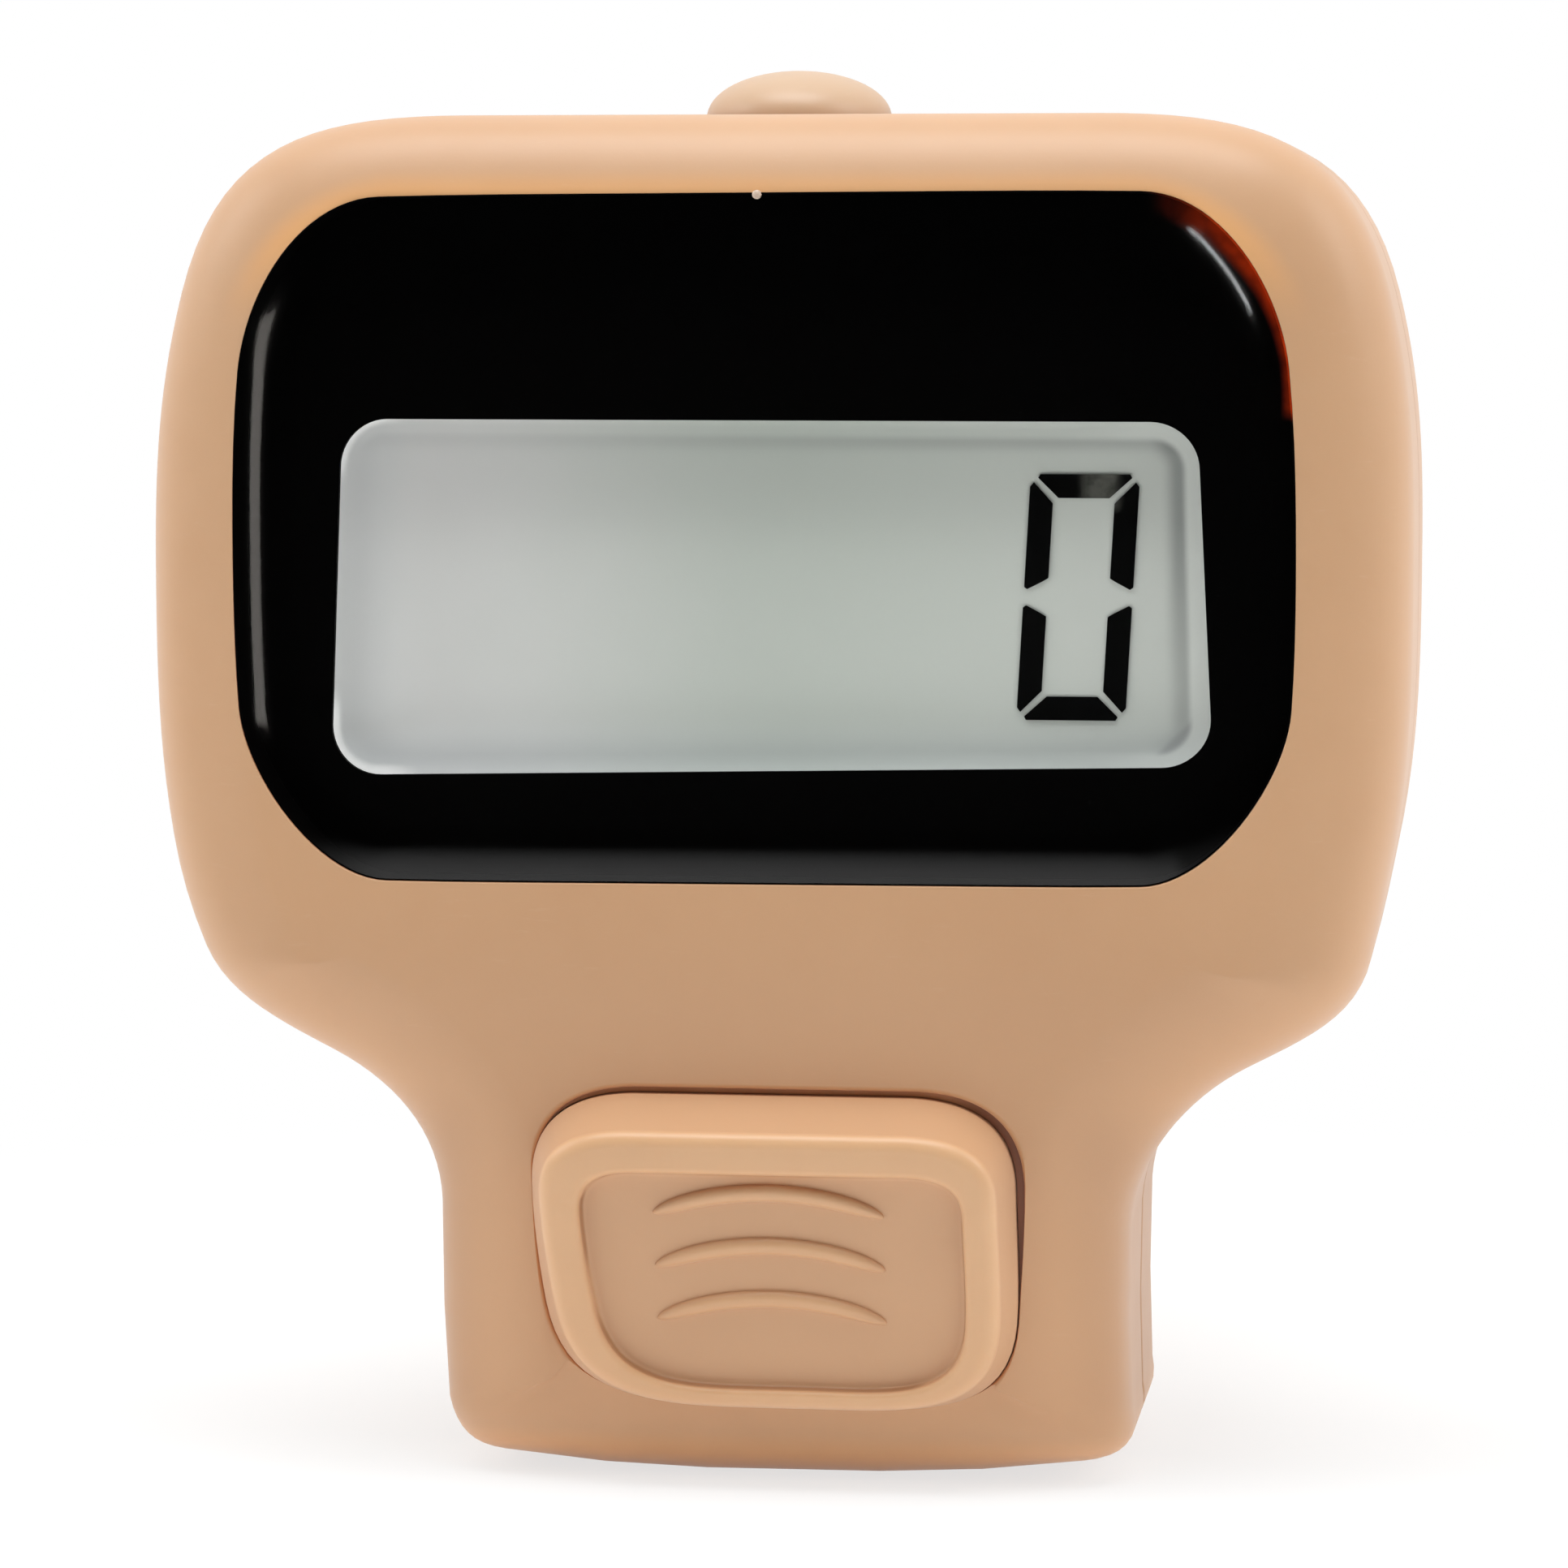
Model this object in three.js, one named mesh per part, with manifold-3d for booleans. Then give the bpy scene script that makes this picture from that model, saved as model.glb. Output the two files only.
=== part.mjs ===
// A digital finger counter: a two-shell case with a black-bordered window over a liquid crystal
// display, a count button in the narrow neck, a reset button on top, a button cell behind a twist-off
// door, and a strap in two hinged halves that goes round the finger. Millimetres. X runs to the right,
// Z up and Y away from the viewer. The origin is on the back of the case, midway up the finger loop.
// The shapes below are made with heights counted from the base, and the whole group is then lowered.
import * as THREE from "three";
import { mergeVertices } from "three/addons/utils/BufferGeometryUtils.js";
import Module from "manifold-3d";

const wasm = await Module();
wasm.setup();

// Outline of the case, seen from the front
const bodyHeight = 31;
const headWidth = 28.5;
const headWidestDrop = 10.1;
const headWidestHeight = bodyHeight - headWidestDrop;
const topFlatWidth = 14.6;
const shoulderWidth = 27.3;
const shoulderDrop = 4;
const shoulderHeight = bodyHeight - shoulderDrop;
const hipWidth = 26.2;
const hipHeight = 12.3;
const waistWidth = 20.9;
const waistHeight = 9.6;
const neckWidth = 15.9;
const neckTopHeight = 6;
const baseCornerHeight = 1.95;
const baseCornerWidth = 12.6;
const baseCrown = 0.32;
const baseFlatWidth = 4;

// Shells
const caseDepth = 11.8;
const rearShellDepth = 4.9;
const wall = 1.3;
const frontWall = 2.6;
const rearWall = 1.3;
const frontEdgeInset = 1.7;
const frontEdgeDepth = 2.4;
const rearEdgeInset = 1.6;
const rearEdgeDepth = 1.7;
const partingGap = 0.2;
const partingInset = 0.12;
const neckSlope = 0.14;
const joinDepth = 0.4;
const overcut = 1;

// Window, display and its support
const windowWidth = 23.7;
const windowTopMargin = 1.9;
const windowBottomMargin = 1.4;
const windowHeight = bodyHeight - windowTopMargin - hipHeight - windowBottomMargin;
const windowCentreHeight = hipHeight + windowBottomMargin + windowHeight / 2;
const windowSquareness = 5.2;
const lensThickness = 1.2;
const lensSink = 0.08;
const lensBevelWidth = 1.3;
const lensBevelDepth = 0.34;
const lensClearance = 0.12;
const maskThickness = 0.15;
const viewTopWidth = 19.2;
const viewBottomWidth = 19.8;
const viewTopMargin = 4.9;
const viewBottomMargin = 2.55;
const viewHeight = windowHeight - viewTopMargin - viewBottomMargin;
const viewCentreHeight = windowCentreHeight - windowHeight / 2 + viewBottomMargin + viewHeight / 2;
const viewCorner = 1.25;
const ledgeMargin = 0.4;
const glassWidth = 21.8;
const glassMargin = 1.1;
const glassThickness = 0.7;
const contactLedge = 1.6;
const filmThickness = 0.2;
const filmInset = 0.4;
const bondGap = 0.02;
const foamThickness = 0.6;
const foamInset = 1;
const zebraWidth = 19;
const zebraHeight = 1.2;

// Circuit board and what is soldered to it
const boardThickness = 0.8;
const boardInset = 1.75;
const chipRadius = 1.9;
const chipRise = 0.9;
const chipClearance = 0.4;
const capacitorSize = [1.6, 0.8, 0.8];
const resistorSize = [1.2, 0.4, 0.6];
const smallPartClearance = 1.4;
const smallPartRise = 3.5;

// Count button and its rubber dome
const buttonWidth = 10.9;
const buttonHeight = 7.2;
const buttonCentreHeight = 5.55;
const buttonTopProud = 1.5;
const buttonBottomProud = 0.7;
const buttonClearance = 0.22;
const buttonSideDraft = 0.3;
const buttonTopDraft = 0.75;
const buttonBottomDraft = 0.06;
const buttonSideRim = 0.95;
const buttonTopRim = 0.9;
const buttonBottomRim = 0.6;
const buttonRecessDepth = 0.4;
const buttonFlangeWidth = 0.75;
const buttonFlangeThickness = 0.6;
const flangeSidePlay = 0.35;
const buttonSideLean = 0.3;
const buttonSideDrop = 0.75;
const buttonSideRise = 1.75;
const buttonCorner = 1.9;
const buttonTravel = 0.7;
const ridgeCount = 3;
const ridgeWidth = 0.42;
const ridgePitch = 1.25;
const ridgeLength = 5.2;
const ridgeRise = 0.2;
const ridgeArch = 0.5;
const domeBaseRadius = 2.9;
const domeFootRadius = 2.2;
const domeTopRadius = 1.6;
const domeBaseThickness = 0.35;
const domeWeb = 0.3;
const plungerMargin = 0.2;
const pillRadius = 0.95;
const pillThickness = 0.3;
const restGap = 0.05;

// Reset button and its side switch
const resetRadius = 2.12;
const resetRise = 1;
const resetClearance = 0.16;
const resetFlangeRadius = 2.65;
const resetFlangeThickness = 0.6;
const resetStemRadius = 0.8;
const resetTravel = 0.4;
const resetRoom = 0.6;
const switchWidth = 4.4;
const switchHeight = 2.3;
const switchDepth = 2;
const plungerWidth = 1.7;
const plungerDepth = 0.9;
const plungerRise = 0.7;
const plungerSunk = 0.9;
const plungerClearance = 0.12;
const plungerDrop = 0.75;

// Button cell, 11.6 mm across and 3.05 mm thick, and its springs
const cellRadius = 5.8;
const cellThickness = 3.05;
const cellCanDepth = 2.6;
const cellCapRadius = 4.8;
const cellSkin = 0.3;
const cellSealWidth = 0.4;
const cellHeight = bodyHeight / 2;
const springThickness = 0.14;
const springWidth = 2.4;
const springReach = 3;
const springSet = 0.12;
const sideSpringRise = 2;

// Twist-off battery door with three bayonet tabs
const doorRadius = 7.2;
const doorClearance = 0.2;
const doorFlange = 0.8;
const doorSeatGap = 0.1;
const doorHubRadius = 6.35;
const doorHubDepth = 2.25;
const tabRadius = 7.05;
const tabThickness = 0.42;
const tabAngle = 24;
const tabCount = 3;
const notchPlayAngle = 8;
const tabPlay = 0.12;
const doorLipDepth = doorHubDepth - tabThickness - tabPlay;
const coinSlotLength = 9;
const coinSlotWidth = 1.5;
const coinSlotDepth = 0.7;
const wellOuterRadius = 8.2;
const wellClearance = 0.3;

// Case screws
const screwTopColumn = 8.6;
const screwTopDrop = 2.6;
const screwTopHeight = bodyHeight - screwTopDrop;
const screwHipColumn = 9.9;
const screwHipHeight = hipHeight - joinDepth / 4;
const screwHeadRadius = 1.3;
const screwHeadHeight = 0.8;
const screwShankRadius = 0.55;
const screwLength = 4.5;
const screwRecess = 1.2;
const screwPlay = 0.2;
const screwTip = 0.7;
const screwRim = 0.28;
const pilotPlay = 0.1;
const pilotRun = 1.2;
const crossSize = [1.5, 0.34, 0.45];
const bossRadius = 1.15;
const bossShoulderRadius = 1.5;
const padThickness = 2.3;
const padRadius = 2.1;

// Finger strap in two halves, its pins and its lugs
const loopInnerRadius = 9.7;
const loopDepth = 7;
const loopHeight = cellHeight;
const strapThickness = 1.5;
const strapWidth = 8.4;
const pinRadius = 0.5;
const pinLength = 11.2;
const pinStandOff = 1.6;
const pinPlay = 0.08;
const knuckleRadius = 1.4;
const lugThickness = 1.4;
const lugRadius = 1.4;
const lugPlay = 0.2;
const tongueWidth = 3.4;
const forkPlay = 0.3;
const tongueReach = 16;
const tongueShoulder = 17;
const forkReach = 3;
const forkSlotReach = 35;

// Levels along Y, from the back plane forwards
const backPlane = 0;
const frontPlane = backPlane - caseDepth;
const partingPlane = backPlane - rearShellDepth;
const lensFront = frontPlane + lensSink;
const lensBack = lensFront + lensThickness;
const maskBack = lensBack + bondGap + maskThickness;
const ledgeFront = maskBack + bondGap;
const innerFront = frontPlane + frontWall;
const displayFront = innerFront + bondGap;
const frontGlassFront = displayFront + filmThickness + bondGap;
const frontGlassBack = frontGlassFront + glassThickness;
const rearGlassBack = frontGlassBack + bondGap + glassThickness;
const reflectorBack = rearGlassBack + bondGap + filmThickness;
const foamBack = reflectorBack + bondGap + foamThickness;
const boardFront = foamBack + bondGap;
const boardBack = boardFront + boardThickness;
const plateInner = backPlane - rearWall;
const cellBack = backPlane - doorHubDepth - restGap;
const cellFront = cellBack - cellThickness;

// Solids and geometry
function solidOf(geometry) {
  const loose = geometry.index ? geometry.toNonIndexed() : geometry;
  const bare = new THREE.BufferGeometry().setAttribute("position", loose.getAttribute("position"));
  const merged = mergeVertices(bare, 1e-4);
  return new wasm.Manifold(
    new wasm.Mesh({
      numProp: 3,
      vertProperties: merged.attributes.position.array,
      triVerts: new Uint32Array(merged.index.array),
    }),
  );
}

function geometryOf(solid) {
  const mesh = solid.getMesh();
  const positions = new Float32Array(mesh.numVert * 3);
  for (let i = 0; i < mesh.numVert; i += 1) {
    positions.set(mesh.vertProperties.subarray(i * mesh.numProp, i * mesh.numProp + 3), i * 3);
  }
  const geometry = new THREE.BufferGeometry()
    .setAttribute("position", new THREE.BufferAttribute(positions, 3))
    .setIndex(new THREE.BufferAttribute(mesh.triVerts, 1))
    .toNonIndexed();
  geometry.computeVertexNormals();
  return geometry;
}

// A closed skin over rings of equal count, given from front to back. Each cap is cut in two at the
// pair of points named by split, so that a face bent along that line stays true.
function loft(rings, split) {
  const count = rings[0].length;
  const positions = [];
  const push = (...points) => points.forEach((p) => positions.push(p.x, p.y, p.z));
  rings.slice(1).forEach((back, i) => {
    const front = rings[i];
    for (let j = 0; j < count; j += 1) {
      const k = (j + 1) % count;
      push(front[j], back[j], back[k], front[j], back[k], front[k]);
    }
  });
  const everything = [...Array(count).keys()];
  const patches = split
    ? [
        everything.filter((j) => j <= split || j >= count - 1 - split),
        everything.filter((j) => j >= split && j <= count - 1 - split),
      ]
    : [everything];
  const cap = (ring, turned) => {
    patches.forEach((patch) => {
      const contour = patch.map((j) => new THREE.Vector2(ring[j].x, ring[j].z));
      THREE.ShapeUtils.triangulateShape(contour, []).forEach(([a, b, c]) => {
        const order = turned ? [a, c, b] : [a, b, c];
        push(...order.map((index) => ring[patch[index]]));
      });
    });
  };
  cap(rings[0], false);
  cap(rings[rings.length - 1], true);
  const geometry = new THREE.BufferGeometry();
  geometry.setAttribute("position", new THREE.Float32BufferAttribute(positions, 3));
  return solidOf(geometry);
}

const ringAt = (outline, y) =>
  outline.map((p) => new THREE.Vector3(p.x, typeof y === "function" ? y(p.y) : y, p.y));

const prism = (outline, front, back) => loft([ringAt(outline, front), ringAt(outline, back)]);

function block([x0, x1], [y0, y1], [z0, z1]) {
  const box = new THREE.BoxGeometry(x1 - x0, y1 - y0, z1 - z0);
  box.translate((x0 + x1) / 2, (y0 + y1) / 2, (z0 + z1) / 2);
  return solidOf(box);
}

function diskY(radius, front, back, x, z, sides = 32) {
  const disk = new THREE.CylinderGeometry(radius, radius, back - front, sides);
  disk.translate(x, (front + back) / 2, z);
  return solidOf(disk);
}

function rodX(radius, left, right, y, z, sides = 20) {
  const rod = new THREE.CylinderGeometry(radius, radius, right - left, sides);
  rod.rotateZ(Math.PI / 2);
  rod.translate((left + right) / 2, y, z);
  return solidOf(rod);
}

// A profile of [radius, distance along the axis] turned about the Y axis, or about Z when upright.
function turned(profile, sides, x, y, z, upright = false) {
  const lathe = new THREE.LatheGeometry(
    profile.map(([radius, along]) => new THREE.Vector2(radius, along)),
    sides,
  );
  if (upright) lathe.rotateX(Math.PI / 2);
  lathe.translate(x, y, z);
  return solidOf(lathe);
}

const cut = (solid, ...tools) => tools.reduce((rest, tool) => rest.subtract(tool), solid);
const join = (solid, ...more) => more.reduce((sum, one) => sum.add(one), solid);

// Outlines, as points of x and height, anticlockwise as the viewer sees them
// Each station is [x, height, heading x, heading height, steps, pull], and a cubic joins it to the one before.
function smoothHalf(stations) {
  const points = [new THREE.Vector2(stations[0][0], stations[0][1])];
  stations.slice(1).forEach(([x, z, hx, hz, steps, pull], i) => {
    const [px, pz, phx, phz] = stations[i];
    const reach = pull * Math.hypot(x - px, z - pz);
    const out = new THREE.Vector2(phx, phz).normalize().multiplyScalar(reach);
    const back = new THREE.Vector2(hx, hz).normalize().multiplyScalar(reach);
    const curve = new THREE.CubicBezierCurve(
      new THREE.Vector2(px, pz),
      new THREE.Vector2(px + out.x, pz + out.y),
      new THREE.Vector2(x - back.x, z - back.y),
      new THREE.Vector2(x, z),
    );
    points.push(...curve.getPoints(steps).slice(1));
  });
  return points;
}

const mirrored = (half) => [...half, ...half.map((p) => new THREE.Vector2(-p.x, p.y)).reverse()];

const bodySteps = [1, 3, 1, 5, 4, 4, 4, 6];
const hipIndex = bodySteps.slice(0, 5).reduce((sum, n) => sum + n, 0);

function bodyOutline(inset) {
  const neck = neckWidth / 2 - inset;
  return mirrored(
    smoothHalf([
      [baseFlatWidth / 2, inset, 1, 0],
      [baseCornerWidth / 2 - inset * 0.9, baseCrown + inset, 1, 0.12, bodySteps[0], 0.36],
      [neck, baseCornerHeight + inset * 0.35, 0, 1, bodySteps[1], 0.48],
      [neck, neckTopHeight, 0, 1, bodySteps[2], 0.3],
      [waistWidth / 2 - inset * 0.43, waistHeight + inset * 0.9, 0.88, 0.47, bodySteps[3], 0.36],
      [hipWidth / 2 - inset * 0.95, hipHeight, 0.3, 0.95, bodySteps[4], 0.36],
      [headWidth / 2 - inset, headWidestHeight, 0, 1, bodySteps[5], 0.36],
      [shoulderWidth / 2 - inset * 0.97, shoulderHeight - inset * 0.2, -0.25, 0.97, bodySteps[6], 0.36],
      [topFlatWidth / 2, bodyHeight - inset, -1, 0, bodySteps[7], 0.46],
    ]),
  );
}

function windowOutline(inset, sides = 56) {
  const power = 2 / windowSquareness;
  const bend = (value) => Math.sign(value) * Math.abs(value) ** power;
  return Array.from({ length: sides }, (_, i) => {
    const angle = ((i + 0.5) / sides) * 2 * Math.PI;
    return new THREE.Vector2(
      (windowWidth / 2 - inset) * bend(Math.cos(angle)),
      windowCentreHeight + (windowHeight / 2 - inset) * bend(Math.sin(angle)),
    );
  });
}

// The clear view through the mask is a little wider at the bottom than at the top.
function viewOutline(grow) {
  const corner = viewCorner + grow;
  const low = viewCentreHeight - viewHeight / 2 - grow;
  const high = viewCentreHeight + viewHeight / 2 + grow;
  const bottom = viewBottomWidth / 2 + grow;
  const top = viewTopWidth / 2 + grow;
  return mirrored(
    smoothHalf([
      [bottom - corner, low, 1, 0],
      [bottom, low + corner, 0, 1, 4, 0.39],
      [top, high - corner, 0, 1, 1, 0.3],
      [top - corner, high, -1, 0, 4, 0.39],
    ]),
  );
}

// The button is a shield: flat above, drawn in at the sides and round below.
function buttonOutline(inset, topInset = inset, bottomInset = inset) {
  const halfWidth = buttonWidth / 2 - inset;
  const top = buttonCentreHeight + buttonHeight / 2 - topInset;
  const bottom = buttonCentreHeight - buttonHeight / 2 + bottomInset;
  return mirrored(
    smoothHalf([
      [buttonWidth * 0.06, bottom, 1, 0],
      [halfWidth - buttonSideLean, buttonCentreHeight - buttonSideDrop, 0.24, 1, 6, 0.42],
      [halfWidth, buttonCentreHeight + buttonSideRise - inset * 0.4, 0, 1, 2, 0.3],
      [buttonWidth / 2 - buttonCorner, top, -1, 0.04, 5, 0.5],
    ]),
  );
}

const frontFace = (height) => frontPlane + neckSlope * Math.max(0, hipHeight - height);

function buttonFace(height) {
  const top = buttonCentreHeight + buttonHeight / 2;
  const bottom = buttonCentreHeight - buttonHeight / 2;
  const share = (height - bottom) / (top - bottom);
  const high = frontFace(top) - buttonTopProud;
  const low = frontFace(bottom) - buttonBottomProud;
  return low + (high - low) * share;
}

const screwPlaces = [
  ["case_screw_top_left", -screwTopColumn, screwTopHeight],
  ["case_screw_top_right", screwTopColumn, screwTopHeight],
  ["case_screw_hip_left", -screwHipColumn, screwHipHeight],
  ["case_screw_hip_right", screwHipColumn, screwHipHeight],
];

// Shells
// Rings of a rounded edge, from the face where the outline is drawn in to the side where it is full.
function edgeRings(faceY, edgeInset, edgeDepth, steps) {
  return Array.from({ length: steps + 1 }, (_, i) => {
    const angle = (i / steps) * (Math.PI / 2);
    const inset = edgeInset * (1 - Math.sin(angle));
    const sink = edgeDepth * (1 - Math.cos(angle));
    return ringAt(bodyOutline(inset), (height) => faceY(height, sink));
  });
}

function resetBore(radius, bottom) {
  return turned(
    [
      [0, bottom],
      [radius, bottom],
      [radius, bodyHeight + overcut],
      [0, bodyHeight + overcut],
    ],
    32,
    0,
    partingPlane,
    0,
    true,
  );
}

function makeFrontCase() {
  const front = partingPlane - partingGap / 2;
  const outside = loft(
    [
      ...edgeRings((height, sink) => frontFace(height) + sink, frontEdgeInset, frontEdgeDepth, 5),
      ringAt(bodyOutline(partingInset), front),
    ],
    hipIndex,
  );
  const bosses = screwPlaces.flatMap(([, x, z]) => [
    diskY(bossShoulderRadius, innerFront - joinDepth, boardFront - bondGap, x, z, 24),
    diskY(bossRadius, innerFront - joinDepth, backPlane - padThickness - restGap * 2, x, z, 24),
  ]);
  const hollow = prism(bodyOutline(wall), innerFront, backPlane);
  const pilots = screwPlaces.map(([, x, z]) =>
    diskY(screwShankRadius + pilotPlay, boardFront - pilotRun, backPlane, x, z, 16),
  );
  const shell = cut(outside, hollow);
  return cut(
    join(shell, ...bosses),
    prism(windowOutline(0), frontPlane - overcut * 2, ledgeFront),
    prism(viewOutline(ledgeMargin), frontPlane - overcut * 2, innerFront + overcut),
    prism(buttonOutline(-buttonClearance), frontPlane - overcut * 2, innerFront + overcut),
    resetBore(resetRadius + resetClearance, bodyHeight - wall - overcut),
    ...pilots,
  );
}

// A slice of a disk about the cell's axis, centreAngle degrees round from +X.
function wedge(radius, front, back, centreAngle, spread) {
  const reach = radius * 2;
  const angles = [centreAngle - spread / 2, centreAngle, centreAngle + spread / 2];
  const corners = angles.map((degrees) => {
    const angle = THREE.MathUtils.degToRad(degrees);
    return new THREE.Vector2(reach * Math.cos(angle), cellHeight + reach * Math.sin(angle));
  });
  const pie = prism([new THREE.Vector2(0, cellHeight), ...corners], front, back);
  return pie.intersect(diskY(radius, front, back, 0, cellHeight, 48));
}

const tabAngles = Array.from({ length: tabCount }, (_, i) => 90 + (i * 360) / tabCount);

function makeRearCover() {
  const front = partingPlane + partingGap / 2;
  const outside = loft([
    ringAt(bodyOutline(partingInset), front),
    ...edgeRings((height, sink) => backPlane - sink, rearEdgeInset, rearEdgeDepth, 5).reverse(),
  ]);
  const lipInner = backPlane - doorLipDepth;
  const tabFloor = backPlane - doorHubDepth - restGap;
  const openRadius = doorHubRadius + doorClearance;
  const doorSeat = backPlane - doorFlange - doorSeatGap;
  const pads = screwPlaces.map(([, x, z]) =>
    diskY(padRadius, backPlane - padThickness, plateInner + joinDepth, x, z, 24),
  );
  const well = diskY(wellOuterRadius, boardBack + restGap * 2, plateInner + joinDepth, 0, cellHeight, 48);
  const shell = cut(outside, prism(bodyOutline(wall), front - overcut, plateInner));
  const lugs = [1, -1].flatMap((side) => [1, -1].map((end) => makeLug(side, end)));
  const notches = tabAngles.map((angle) =>
    wedge(
      tabRadius + doorClearance,
      lipInner - joinDepth,
      backPlane,
      angle + 180 / tabCount,
      tabAngle + notchPlayAngle,
    ),
  );
  return cut(
    join(shell, well, ...pads, ...lugs),
    diskY(cellRadius + wellClearance, boardBack - overcut, tabFloor, 0, cellHeight, 48),
    diskY(tabRadius + wellClearance, tabFloor - bondGap, lipInner, 0, cellHeight, 48),
    diskY(openRadius, lipInner - joinDepth, backPlane + overcut, 0, cellHeight, 48),
    diskY(doorRadius + doorClearance, doorSeat, backPlane + overcut, 0, cellHeight, 48),
    ...notches,
    block(
      [-wellOuterRadius - overcut, -cellRadius],
      [boardBack - overcut, cellBack],
      plusSpringSpan(wellClearance),
    ),
    resetBore(resetRadius + resetClearance, bodyHeight - wall - overcut),
    ...screwPlaces.flatMap(([, x, z]) => [
      diskY(screwHeadRadius + screwPlay, backPlane - screwRecess, backPlane + overcut, x, z, 24),
      diskY(screwShankRadius + screwPlay, backPlane - padThickness - overcut, backPlane + overcut, x, z, 16),
    ]),
  );
}

// Window and display
function makeLens() {
  const edge = windowOutline(lensClearance);
  const crown = windowOutline(lensClearance + lensBevelWidth);
  return loft([ringAt(crown, lensFront), ringAt(edge, lensFront + lensBevelDepth), ringAt(edge, lensBack)]);
}

function makeMask() {
  const sheet = prism(windowOutline(lensClearance), lensBack + bondGap, maskBack);
  return cut(sheet, prism(viewOutline(0), lensBack - overcut, maskBack + overcut));
}

const glassBottom = viewCentreHeight - viewHeight / 2 - glassMargin;
const glassTop = viewCentreHeight + viewHeight / 2 + glassMargin;

function plate(inset, top, front, back) {
  const half = glassWidth / 2 - inset;
  return block([-half, half], [front, back], [glassBottom + inset, top - inset]);
}

function makeZebraStrip() {
  const middle = glassTop + contactLedge / 2;
  return block(
    [-zebraWidth / 2, zebraWidth / 2],
    [frontGlassBack + bondGap, boardFront - bondGap],
    [middle - zebraHeight / 2, middle + zebraHeight / 2],
  );
}

function makeFoamPad() {
  const half = zebraWidth / 2;
  const span = [glassBottom + foamInset, glassTop - foamInset];
  return block([-half, half], [reflectorBack + bondGap, foamBack], span);
}

// Circuit board
function makeBoard() {
  const sheet = prism(bodyOutline(boardInset), boardFront, boardBack);
  const holes = screwPlaces.map(([, x, z]) =>
    diskY(bossRadius + screwPlay, boardFront - overcut, boardBack + overcut, x, z, 24),
  );
  const notch = block(
    [-resetFlangeRadius - resetRoom, resetFlangeRadius + resetRoom],
    [boardFront - overcut, boardBack + overcut],
    [switchTop + resetRoom / 2, bodyHeight],
  );
  return cut(sheet, ...holes, notch);
}

function makeChipCover() {
  const dome = [];
  const steps = 5;
  for (let i = 0; i <= steps; i += 1) {
    const angle = (i / steps) * (Math.PI / 2);
    dome.push([chipRadius * Math.cos(angle), chipRise * Math.sin(angle)]);
  }
  dome[steps][0] = 0;
  const chipHeight = cellHeight - wellOuterRadius - chipClearance - chipRadius;
  return turned([[0, 0], ...dome], 24, 0, boardBack + bondGap, chipHeight);
}

// A small chip stands on the board beside the battery well, on the right when side is 1.
function boardChip([width, depth, height], side) {
  const x = side * (wellOuterRadius + smallPartClearance + width / 2);
  const z = cellHeight + smallPartRise;
  const front = boardBack + bondGap;
  return block([x - width / 2, x + width / 2], [front, front + depth], [z - height / 2, z + height / 2]);
}

// Count button
const flangeFront = innerFront + restGap * 2;
const flangeBack = flangeFront + buttonFlangeThickness;

function makeCountButton() {
  const cap = loft([
    ringAt(buttonOutline(buttonSideDraft, buttonTopDraft, buttonBottomDraft), buttonFace),
    ringAt(buttonOutline(0), (height) => frontFace(height) - restGap),
    ringAt(buttonOutline(0), flangeBack - restGap),
  ]);
  const floor = (height) => buttonFace(height) + buttonRecessDepth;
  const rim = buttonOutline(
    buttonSideDraft + buttonSideRim,
    buttonTopDraft + buttonTopRim,
    buttonBottomDraft + buttonBottomRim,
  );
  const recess = loft([ringAt(rim, (height) => buttonFace(height) - overcut), ringAt(rim, floor)]);
  const ridges = Array.from({ length: ridgeCount }, (_, i) =>
    makeRidge(buttonCentreHeight + (i - (ridgeCount - 1) / 2) * ridgePitch, floor),
  );
  const room = prism(bodyOutline(wall + flangeSidePlay), flangeFront, flangeBack);
  const flange = prism(buttonOutline(-buttonFlangeWidth), flangeFront, flangeBack).intersect(room);
  return join(cut(cap, recess), flange, ...ridges);
}

// A thumb ridge arches across the recess of the button.
function makeRidge(height, floor) {
  const steps = 6;
  const edge = (side) =>
    Array.from({ length: steps + 1 }, (_, i) => {
      const share = (i / steps) * 2 - 1;
      return new THREE.Vector2(
        (share * ridgeLength) / 2,
        height + ridgeArch * (0.5 - share * share) + (side * ridgeWidth) / 2,
      );
    });
  const outline = [...edge(-1), ...edge(1).reverse()];
  return loft([ringAt(outline, (z) => floor(z) - ridgeRise), ringAt(outline, (z) => floor(z) + ridgeRise)]);
}

// The dome stands on the board, and the pill under its plunger just reaches the board when pressed.
const domeHeight = boardFront - flangeBack - restGap * 2;
const pillBack = boardFront - buttonTravel - restGap;
const plungerFoot = buttonTravel + pillThickness + bondGap;

function makeDome() {
  const plungerRadius = pillRadius + plungerMargin;
  const profile = [
    [domeFootRadius - domeWeb, 0],
    [domeBaseRadius, 0],
    [domeBaseRadius, domeBaseThickness],
    [domeFootRadius, domeBaseThickness],
    [domeTopRadius, domeHeight],
    [0, domeHeight],
    [0, plungerFoot],
    [plungerRadius, plungerFoot],
    [plungerRadius, domeHeight - domeWeb],
    [domeTopRadius - domeWeb / 2, domeHeight - domeWeb],
    [domeFootRadius - domeWeb, domeBaseThickness],
    [domeFootRadius - domeWeb, 0],
  ];
  const turnedOver = profile.map(([radius, along]) => [radius, -along]).reverse();
  return turned(turnedOver, 32, 0, boardFront - restGap, buttonCentreHeight);
}

const makePill = () => diskY(pillRadius, pillBack - pillThickness, pillBack, 0, buttonCentreHeight, 24);

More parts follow.
